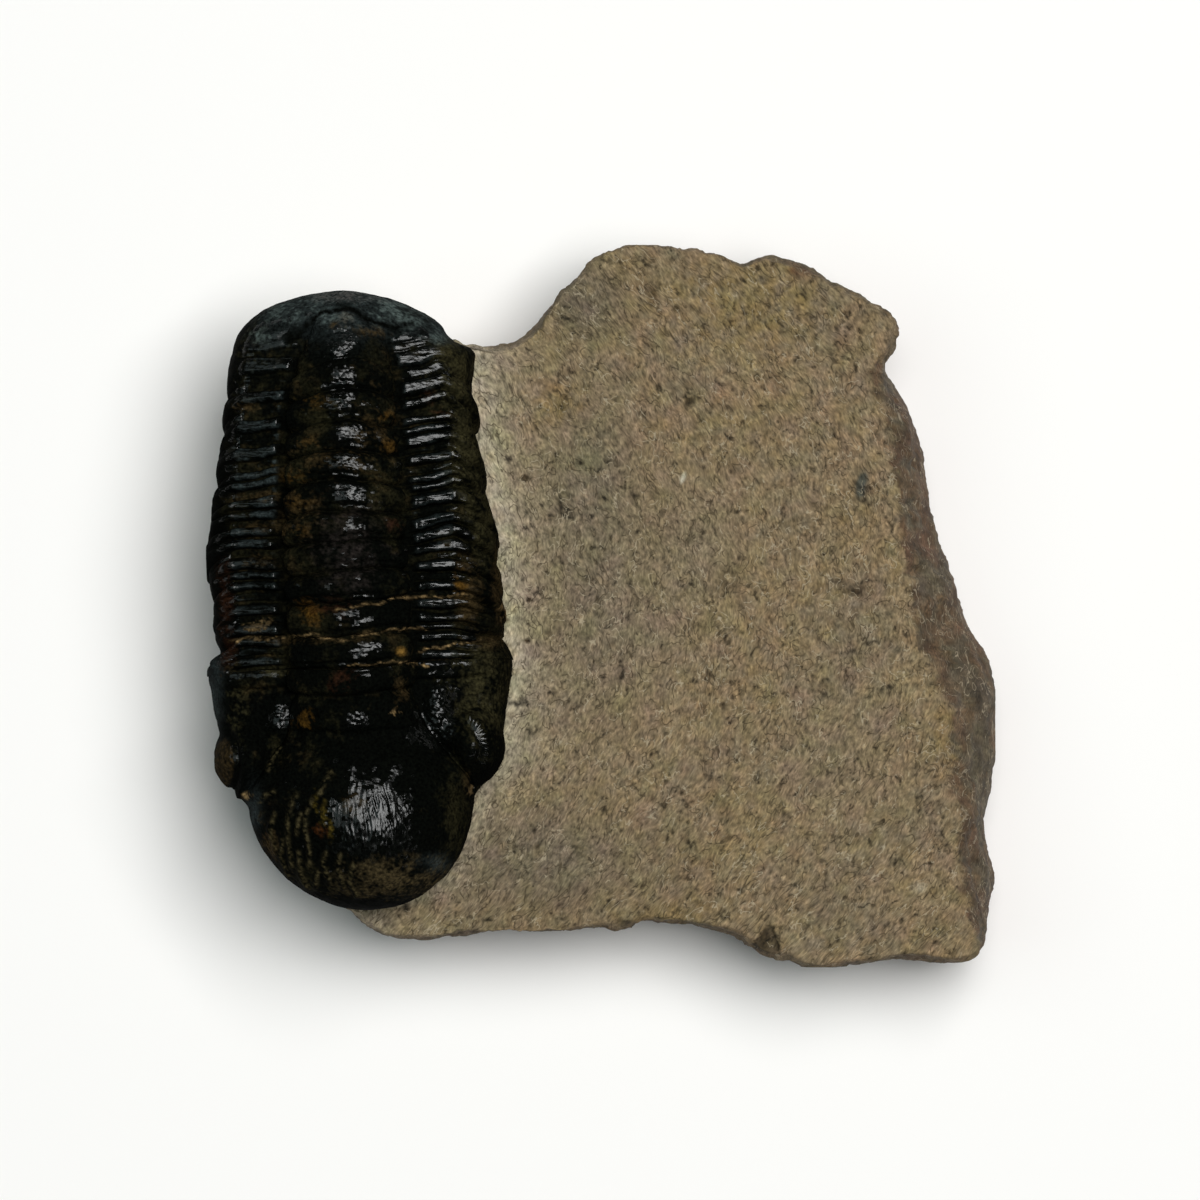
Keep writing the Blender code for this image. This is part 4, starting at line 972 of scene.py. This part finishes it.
def stone_relief(points):
    """Height of the top face's fine tool marks, grains and pits, in metres, and how light each place's colour is:
    lighter and darker with the grain, and darker in the pits and cracks as painted shade.
    """
    x, y = plan(points)
    flat = np.minimum(points, (1, 1, SLAB_THICKNESS - 1.8 * MM))
    bent = flat.copy()
    bent[..., 0] += 0.9 * MM * grain(flat, 3.5 * MM, 91) + STROKE_LEAN * flat[..., 1] ** 2
    bent[..., 1] += 0.9 * MM * grain(flat, 3.5 * MM, 92)
    strokes = grain(bent, (0.24 * MM, 0.62 * MM, MM), 93) + 0.7 * grain(bent, (0.16 * MM, 0.36 * MM, MM), 94)
    grains = grain(flat, 0.42 * MM, 95) + 0.6 * grain(flat, 1.1 * MM, 96)
    pits = grain(flat, 0.62 * MM, 97) + 0.5 * grain(flat, 0.3 * MM, 98) + 0.45 * grain(flat, 7 * MM, 99)
    pits = np.clip(2.2 * (pits - 0.80), 0, 1)
    cracks = ridged(bent, (0.75 * MM, 1.3 * MM, MM), 100, 0.16) * np.clip(2.5 * grain(bent, 1.0 * MM, 101) - 0.35, 0, 1)
    relief = 0.055 * strokes + 0.035 * grains - 0.26 * pits - 0.12 * cracks
    relief = relief + 0.13 * grain(flat, 4 * MM, 102) + 0.07 * grain(flat, 1.7 * MM, 103)
    # The colour is darkened in the pits and cracks as painted shade; the strokes and grains are the stone's own tone.
    light = 0.37 * strokes + 0.22 * grains - 0.52 * pits - 0.90 * cracks
    relief = relief - 0.45 * chip_cover(x, y, flat)
    for mark_x, mark_y, radius_x, radius_y, angle, _, _, depth in MARKS:
        if depth:
            relief = relief - depth * blot(x, y, mark_x, mark_y, radius_x, radius_y, angle)
    return relief * MM, light


def top_height(points):
    """Height of the top face before its fine relief."""
    flat = points * (1, 1, 0)
    beside = world(*WORKED_BESIDE)[0]
    dip = WORKED_DIP * np.exp(-(((points[..., 0] - beside) / WORKED_DIP_REACH) ** 2))
    x, y = plan(points)
    trough = 0.22 * MM * bump(trilobite_reach(x, y) - 8, 14)
    return SLAB_THICKNESS - dip - trough + 0.15 * MM * layered(flat, 13 * MM, 104, layers=2)


def stone_colour(points, light, weathered):
    """Colour of the slab: tan, greyed and yellowed in patches, dusty beside the fossil, dark where weathered, with
    painted shade in its pits and cracks.
    """
    x, y = plan(points)
    colour = np.broadcast_to(np.array(LIMESTONE), (*x.shape, 3)).copy()

    def tint(amount, target):
        amount = np.clip(amount, 0, 1)[..., None]
        colour[:] = colour * (1 - amount) + np.array(target) * amount

    cloud = layered(points, 7 * MM, 111)
    speck = layered(points, 1.1 * MM, 121, layers=2)
    tint(0.45 * np.clip(cloud, 0, 1), YELLOWED)
    tint(0.45 * np.clip(-cloud, 0, 1), GREYED)
    reach = np.maximum(trilobite_reach(x, y), 0)
    upper = 1 - 0.35 * ease(560, 820, y)
    tint((0.95 * bump(reach, 17) + 0.50 * bump(reach, 52)) * upper * (1 + 0.6 * speck), DUSTY)
    for mark_x, mark_y, radius_x, radius_y, angle, target, strength, _ in MARKS:
        spot = blot(x, y, mark_x, mark_y, radius_x, radius_y, angle)
        tint(1.3 * spot * (strength + 0.9 * speck) - 0.25 * (strength > 1), target)
    tint(chip_cover(x, y, points) * (0.95 + 0.4 * speck), CHIP)
    mottle = layered(points, 1.8 * MM, 127)
    tint(weathered * (0.92 + 0.3 * speck), WEATHERED)
    rusty = np.clip(0.35 + 1.3 * layered(points, 5 * MM, 129, layers=2) + 0.5 * speck, 0, 1)
    tint(weathered * rusty, (0.098, 0.059, 0.034))
    tint(weathered * np.clip(0.6 - 1.6 * rusty, 0, 1), (0.084, 0.069, 0.047))
    colour *= 1 + 0.45 * (weathered * mottle)[..., None]
    colour *= 1 - 0.09 * (ease(760, 900, y) * ease(760, 640, x))[..., None]
    pink = layered(points, 2.2 * MM, 125)
    hue = np.stack([1 + 0.05 * speck + 0.025 * pink, 1 - 0.025 * pink, 1 - 0.07 * speck + 0.06 * pink], axis=-1)
    # The lightness from stone_relief, with its painted shade in pits and cracks, scales the colour.
    return colour * hue * np.clip(1 + light * (1 - 0.35 * weathered), 0.15, 2.2)[..., None]


def inside_outline(places, edge, margin):
    """Which places are inside a closed outline and further than a margin from its points."""
    x, y = places[:, 0], places[:, 1]
    inside = np.zeros(len(places), bool)
    near = np.full(len(places), 1e9)
    for (ax, ay, _), (bx, by, _) in zip(edge, np.roll(edge, -1, axis=0)):
        crosses = (ay > y) != (by > y)
        inside ^= crosses & (x < (bx - ax) * (y - ay) / ((by - ay) if by != ay else 1e-12) + ax)
        close = np.abs(y - ay) < margin
        near[close] = np.minimum(near[close], (x[close] - ax) ** 2 + (y[close] - ay) ** 2)
    return inside & (near > margin**2)


def top_places(edge):
    """Places on the top face inside its edge: close together where they show, and few under the trilobite."""
    chosen = []
    low, high = edge[:, :2].min(axis=0), edge[:, :2].max(axis=0)
    for spacing, hidden in ((TOP_SPACING, False), (1.4 * MM, True)):
        across = np.arange(low[0], high[0], spacing)
        forwards = np.arange(low[1], high[1], spacing * 0.866)
        grid_x, grid_y = np.meshgrid(across, forwards)
        grid_x = grid_x + 0.5 * spacing * (np.arange(len(forwards)) % 2)[:, None]
        places = np.stack([grid_x.ravel(), grid_y.ravel(), 0 * grid_x.ravel()], axis=-1)
        places[:, 0] += 0.3 * spacing * grain(places, spacing * 0.7, 171)
        places[:, 1] += 0.3 * spacing * grain(places, spacing * 0.7, 172)
        under = trilobite_reach(*plan(places)) < -9
        chosen.append(places[under if hidden else ~under])
    chosen = np.concatenate(chosen)
    return chosen[inside_outline(chosen, edge, 0.8 * TOP_SPACING)]


def side_rings(outline, top_edge, shares):
    """Rings of points up the slab's side, with hollows and ledges where the stone broke."""
    right = ease(1, 6, np.hypot(*(outline - top_edge).T))
    ragged = np.stack([*world(*top_edge.T), np.zeros(len(top_edge))], axis=-1)
    nibbled = 3.0 * np.clip(layered(ragged, 1.4 * MM, 131), 0, 1) + 1.8 * np.clip(grain(ragged, 4 * MM, 135), 0, 1)
    nibbled = nibbled * (1 + 0.8 * right)
    profile = np.array(SIDE_PROFILE)
    rings = []
    for share in shares:
        ring = top_edge + (outline - top_edge) * through(profile[:, [0, 2]], share)
        ring = inset(ring, through(profile[:, [0, 1]], share) * MM / PIXEL)
        place = np.stack([*world(*ring.T), np.full(len(ring), share * SLAB_THICKNESS)], axis=-1)
        broken = 0.9 * layered(place, 6.5 * MM, 141) + 0.45 * np.abs(layered(place, 1.6 * MM, 151)) - 0.15
        broken = broken * (0.30 + 0.70 * (1 - ease(0.86, 1.0, share))) * (0.35 + 0.65 * ease(0.0, 0.3, abs(share - 0.55)))
        broken = broken + 0.07 * (1 + grain(place, 0.5 * MM, 161) + 0.7 * grain(place, 0.28 * MM, 162))
        ring = inset(ring, nibbled * (0.12 + 0.88 * share**4) + 0.8 * broken * MM / PIXEL)
        place[:, :2] = np.stack(world(*ring.T), axis=-1)
        rings.append(place)
    return np.array(rings)


def ring_faces(index):
    """Triangles between closed rings of vertex numbers, one ring in each row."""
    following = np.roll(index, -1, axis=1)
    first = np.stack([following[:-1], index[:-1], index[1:]], axis=-1).reshape(-1, 3)
    second = np.stack([following[:-1], index[1:], following[1:]], axis=-1).reshape(-1, 3)
    return np.concatenate([first, second])


def make_slab():
    """The stone as two meshes, one towards the tail and one towards the head, which meet without a gap."""
    outline, top_edge = slab_outlines()
    shares = np.concatenate([[0.0, 0.02, 0.05], np.linspace(0.08, 0.96, 27), [0.98, 1.0]])
    rings = side_rings(outline, top_edge, shares)
    edge = rings[-1]
    relief, _ = stone_relief(edge)
    edge[:, 2] = top_height(edge) + relief - 0.10 * MM
    side = rings.reshape(-1, 3)
    count = len(edge)
    index = np.arange(len(side)).reshape(len(shares), count)

    corners = np.concatenate([edge[:, :2], top_places(edge)[:, :2]])
    found = geometry.delaunay_2d_cdt(
        [Vector(place) for place in corners.tolist()],
        [(i, (i + 1) % count) for i in range(count)], [], 1, 1e-9,
    )
    top = np.array([(*place, SLAB_THICKNESS) for place in found[0]])
    relief, _ = stone_relief(top)
    top[:, 2] = top_height(top) + relief
    # Vertices on the edge of the top are those of the last ring.
    number = len(side) + np.arange(len(top))
    for i, sources in enumerate(found[3]):
        if sources and sources[0] < count:
            number[i] = index[-1, sources[0]]
    top_faces = number[np.array(found[2])]
    middle = len(side) + len(top)
    base = np.stack([index[0], np.roll(index[0], -1), np.full(count, middle)], axis=-1)
    faces = np.concatenate([ring_faces(index), top_faces, base])
    vertices = np.concatenate([side, top, [[*world(*SLAB_MIDDLE), 0.0]]])

    beyond = np.tile(np.hypot(*(outline - top_edge).T), len(shares))
    height = np.repeat(shares, count) + 0.05 * layered(side, 1.2 * MM, 181)
    weathered = np.zeros(len(vertices))
    weathered[: len(side)] = np.maximum(ease(2, 8, beyond) * (1 - ease(0.95, 1.0, height)), 0.5 * (1 - ease(0.8, 0.97, height)))
    _, light = stone_relief(vertices)
    colour = stone_colour(vertices, light, weathered)

    corner = vertices[faces]
    flat = np.cross(corner[:, 1] - corner[:, 0], corner[:, 2] - corner[:, 0])
    normals = np.zeros_like(vertices)
    for i in range(3):
        for axis in range(3):
            normals[:, axis] += np.bincount(faces[:, i], weights=flat[:, axis], minlength=len(vertices))
    normals /= np.maximum(np.linalg.norm(normals, axis=1, keepdims=True), 1e-12)

    towards_tail = corner[:, :, 1].mean(axis=1) > np.median(corner[:, :, 1])
    made = []
    for name, chosen in (("matrix_tail_half", towards_tail), ("matrix_head_half", ~towards_tail)):
        used, local = np.unique(faces[chosen], return_inverse=True)
        made.append(add_mesh(
            name, vertices[used], local.reshape(-1, 3).tolist(), normals[used], colour[used],
            dull=0.88 - 0.2 * weathered[used], worn=weathered[used],
        ))
    return made


def shader(name):
    """A new node material: its node tree and its main shader."""
    material = bpy.data.materials.new(name)
    material.use_nodes = True
    tree = material.node_tree
    return material, tree, tree.nodes["Principled BSDF"]


def node(tree, kind, **values):
    """A new node, with the named inputs set to values or linked to other nodes' sockets."""
    made = tree.nodes.new(kind)
    for key, value in values.items():
        if hasattr(made, key) and not isinstance(value, bpy.types.NodeSocket):
            setattr(made, key, value)
            continue
        socket = made.inputs[key.replace("_", " ")]
        if isinstance(value, bpy.types.NodeSocket):
            tree.links.new(value, socket)
        else:
            socket.default_value = value
    return made


def math_node(tree, operation, first, second):
    made = tree.nodes.new("ShaderNodeMath")
    made.operation = operation
    for socket, value in zip(made.inputs, (first, second)):
        if isinstance(value, bpy.types.NodeSocket):
            tree.links.new(value, socket)
        else:
            socket.default_value = value
    return made.outputs[0]


def noise_node(tree, place, size, detail=2.0):
    """Noise with features of about `size` metres."""
    made = node(tree, "ShaderNodeTexNoise", Vector=place, Scale=1.0 / size, Detail=detail)
    return made.outputs["Fac"]


def ramp(tree, value, start, end, low, high):
    """A value carried in proportion from start..end to low..high, and held at its ends."""
    made = node(tree, "ShaderNodeMapRange", Value=value, From_Min=start, From_Max=end, To_Min=low, To_Max=high)
    return made.outputs["Result"]


def scaled(tree, colour, amount):
    """A colour or place multiplied by an amount."""
    made = tree.nodes.new("ShaderNodeVectorMath")
    made.operation = "SCALE"
    tree.links.new(colour, made.inputs[0])
    tree.links.new(amount, made.inputs["Scale"])
    return made.outputs["Vector"]


def blended(tree, amount, first, second):
    """One colour turned into another by an amount."""
    made = tree.nodes.new("ShaderNodeMix")
    made.data_type = "RGBA"
    tree.links.new(amount, made.inputs["Factor"])
    for key, colour in ((6, first), (7, second)):
        if isinstance(colour, bpy.types.NodeSocket):
            tree.links.new(colour, made.inputs[key])
        else:
            made.inputs[key].default_value = (*colour, 1)
    return made.outputs[2]


def moved(tree, place, offset, stretch=(1, 1, 1)):
    """Places shifted by an offset and then stretched."""
    made = tree.nodes.new("ShaderNodeMapping")
    tree.links.new(place, made.inputs["Vector"])
    made.inputs["Location"].default_value = offset
    made.inputs["Scale"].default_value = stretch
    return made.outputs["Vector"]


def bent_places(tree, place, size, reach):
    """Places carried sideways by noise, so that straight patterns become winding."""
    push = node(tree, "ShaderNodeTexNoise", Vector=place, Scale=1.0 / size, Detail=1.0).outputs["Color"]
    made = tree.nodes.new("ShaderNodeVectorMath")
    made.operation = "MULTIPLY_ADD"
    tree.links.new(push, made.inputs[0])
    made.inputs[1].default_value = (reach, reach, reach)
    tree.links.new(place, made.inputs[2])
    return made.outputs["Vector"]


def leaning_places(tree, place):
    """Places shifted sideways as the strokes on the stone's top are."""
    parts = node(tree, "ShaderNodeSeparateXYZ", Vector=place).outputs
    lean = math_node(tree, "MULTIPLY", math_node(tree, "MULTIPLY", parts["Y"], parts["Y"]), STROKE_LEAN)
    across = math_node(tree, "ADD", parts["X"], lean)
    return node(tree, "ShaderNodeCombineXYZ", X=across, Y=parts["Y"], Z=parts["Z"]).outputs["Vector"]


def line_pattern(tree, place, size, width, cover):
    """Thin winding lines, broken into short lengths that cover about a share of the surface."""
    field = noise_node(tree, place, size, 1.0)
    off = math_node(tree, "ABSOLUTE", math_node(tree, "SUBTRACT", field, 0.5), 0.0)
    lines = ramp(tree, off, 0.0, width, 1.0, 0.0)
    mask = ramp(tree, noise_node(tree, moved(tree, place, (0.3, 0.1, 0.2)), size * 1.6, 1.0), cover, cover + 0.06, 0.0, 1.0)
    return math_node(tree, "MULTIPLY", lines, mask)


def shell_material(name, polish, specular, steepness, stretch):
    """Shell whose roughness runs between the two values in `polish`, with fine relief drawn out by `stretch`."""
    material, tree, main = shader(name)
    place = node(tree, "ShaderNodeTexCoord").outputs["Object"]
    tint = node(tree, "ShaderNodeAttribute", attribute_name="tint").outputs["Color"]
    dull = node(tree, "ShaderNodeAttribute", attribute_name="dull").outputs["Fac"]
    mottle = ramp(tree, noise_node(tree, place, 0.26 * MM, 3.0), 0.3, 0.7, 0.30, 1.70)
    tree.links.new(scaled(tree, tint, mottle), main.inputs["Base Color"])
    smear = ramp(tree, noise_node(tree, place, 0.8 * MM, 3.0), 0.3, 0.7, -0.05, 0.07)
    rough = ramp(tree, dull, 0.0, 1.0, *polish)
    tree.links.new(math_node(tree, "ADD", rough, smear), main.inputs["Roughness"])
    fine = noise_node(tree, moved(tree, place, (0, 0, 0), stretch), 0.14 * MM, 2.0)
    relief = node(tree, "ShaderNodeBump", Strength=steepness, Distance=0.04 * MM, Height=fine)
    tree.links.new(relief.outputs["Normal"], main.inputs["Normal"])
    main.inputs["IOR"].default_value = 1.42
    main.inputs["Specular IOR Level"].default_value = specular
    return material


def stone_material():
    material, tree, main = shader("dry_limestone")
    place = node(tree, "ShaderNodeTexCoord").outputs["Object"]
    tint = node(tree, "ShaderNodeAttribute", attribute_name="tint").outputs["Color"]
    dull = node(tree, "ShaderNodeAttribute", attribute_name="dull").outputs["Fac"]
    worn = node(tree, "ShaderNodeAttribute", attribute_name="worn").outputs["Fac"]
    bent = bent_places(tree, leaning_places(tree, place), 3.0 * MM, 1.6 * MM)
    strokes = noise_node(tree, moved(tree, bent, (0, 0, 0), (1.0, 0.42, 0.7)), 0.17 * MM, 2.0)
    colour = scaled(tree, tint, ramp(tree, strokes, 0.3, 0.7, 0.64, 1.40))
    # Painted shade: thin dark lines in the fine crevices, which the bump below also sinks.
    dark = line_pattern(tree, moved(tree, bent, (0.05, 0, 0), (1.0, 0.6, 1.0)), 0.8 * MM, 0.030, 0.48)
    colour = blended(tree, math_node(tree, "MULTIPLY", dark, 0.75), colour, (0.045, 0.032, 0.017))
    pale = line_pattern(tree, moved(tree, bent, (0, 0.07, 0), (1.0, 0.7, 1.0)), 0.7 * MM, 0.026, 0.54)
    colour = blended(tree, math_node(tree, "MULTIPLY", pale, 0.65), colour, (0.42, 0.35, 0.24))
    scratches = line_pattern(tree, moved(tree, bent, (0, 0, 0.09), (1.0, 0.5, 1.0)), 1.0 * MM, 0.018, 0.50)
    scratches = math_node(tree, "MULTIPLY", scratches, worn)
    colour = blended(tree, math_node(tree, "MULTIPLY", scratches, 0.85), colour, (0.32, 0.26, 0.18))
    tree.links.new(colour, main.inputs["Base Color"])
    tree.links.new(math_node(tree, "ADD", dull, math_node(tree, "MULTIPLY", strokes, 0.1)), main.inputs["Roughness"])
    height = math_node(tree, "SUBTRACT", strokes, math_node(tree, "MULTIPLY", dark, 0.8))
    relief = node(tree, "ShaderNodeBump", Strength=0.9, Distance=0.06 * MM, Height=height)
    tree.links.new(relief.outputs["Normal"], main.inputs["Normal"])
    main.inputs["Specular IOR Level"].default_value = 0.2
    return material


def floor_material():
    material, tree, main = shader("pale_floor")
    main.inputs["Base Color"].default_value = (0.921, 0.891, 0.875, 1.0)
    main.inputs["Roughness"].default_value = 0.9
    return material


def make_floor():
    size = 1.5
    corners = [(-size, -size, 0), (size, -size, 0), (size, size, 0), (-size, size, 0)]
    mesh = bpy.data.meshes.new("floor")
    mesh.from_pydata([(x, y, FLOOR_DROP) for x, y, _ in corners], [], [(0, 1, 2, 3)])
    mesh.materials.append(floor_material())
    floor = bpy.data.objects.new("floor", mesh)
    bpy.context.scene.collection.objects.link(floor)


FLOOR_DROP = -0.02 * MM
LENS, SENSOR = 400.0, 36.0
# Lights: name, tilt to the right and to the back in degrees, distance, width, depth, brightness, colour.
SOFTBOXES = [
    ("softbox", 12.0, 10.5, 1.8, 1.04, 1.00, 11.1, (0.985, 1.0, 0.99)),
    ("fill", -30.0, 4.0, 1.8, 1.20, 1.20, 0.98, (0.80, 1.0, 1.0)),
]


def make_camera():
    """A camera straight above, whose frame takes in the whole plan at the slab's top."""
    data = bpy.data.cameras.new("camera")
    data.lens, data.sensor_width = LENS, SENSOR
    data.clip_start = 0.01
    camera = bpy.data.objects.new("camera", data)
    middle = world(PICTURE_SIZE / 2, PICTURE_SIZE / 2)
    away = PICTURE_SIZE * PIXEL * LENS / SENSOR
    camera.location = (*middle, SLAB_THICKNESS + away)
    bpy.context.scene.collection.objects.link(camera)
    bpy.context.scene.camera = camera


def make_softbox(name, tilt_right, tilt_back, distance, width, depth, brightness, colour):
    """A light above the object, tilted from straight overhead, as bright as asked at every size."""
    data = bpy.data.lights.new(name, "AREA")
    data.shape, data.size, data.size_y, data.color = "RECTANGLE", width, depth, colour
    data.energy = brightness * math.pi * width * depth
    light = bpy.data.objects.new(name, data)
    aim = Vector((math.tan(math.radians(tilt_right)), math.tan(math.radians(tilt_back)), 1)).normalized()
    light.location = aim * distance
    light.rotation_euler = aim.to_track_quat("Z", "Y").to_euler()
    bpy.context.scene.collection.objects.link(light)


def make_studio():
    for softbox in SOFTBOXES:
        make_softbox(*softbox)
    world_light = bpy.data.worlds.new("studio")
    world_light.use_nodes = True
    background = world_light.node_tree.nodes["Background"]
    background.inputs["Color"].default_value = (0.75, 0.85, 1.0, 1.0)
    background.inputs["Strength"].default_value = 0.02
    scene = bpy.context.scene
    scene.world = world_light
    scene.view_settings.view_transform = "Standard"


def main():
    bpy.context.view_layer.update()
    ribbed = shell_material("polished_calcite", (0.15, 0.60), 0.37, 0.7, (0.35, 1.0, 1.0))
    wrinkled = shell_material("wrinkled_calcite", (0.15, 0.60), 0.37, 1.0, (1.0, 0.16, 0.6))
    crusted = shell_material("crusted_calcite", (0.50, 0.80), 0.012, 0.9, (1.0, 1.0, 1.0))
    stone = stone_material()
    body, cheeks, front = make_trilobite()
    looks = (
        ((body, cheeks), (ribbed, crusted), "calcite", "trilobite"),
        ((front,), (wrinkled, crusted), "calcite", "trilobite"),
        (make_slab(), (stone,), "limestone", "matrix"),
    )
    for pieces, materials, slot_name, stands_for in looks:
        for piece in pieces:
            for material in materials:
                piece.data.materials.append(material)
            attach(piece, "root")
            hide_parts(stands_for)
            print(piece.name, len(piece.data.polygons), "faces")
    make_floor()
    make_studio()
    make_camera()
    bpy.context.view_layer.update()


main()
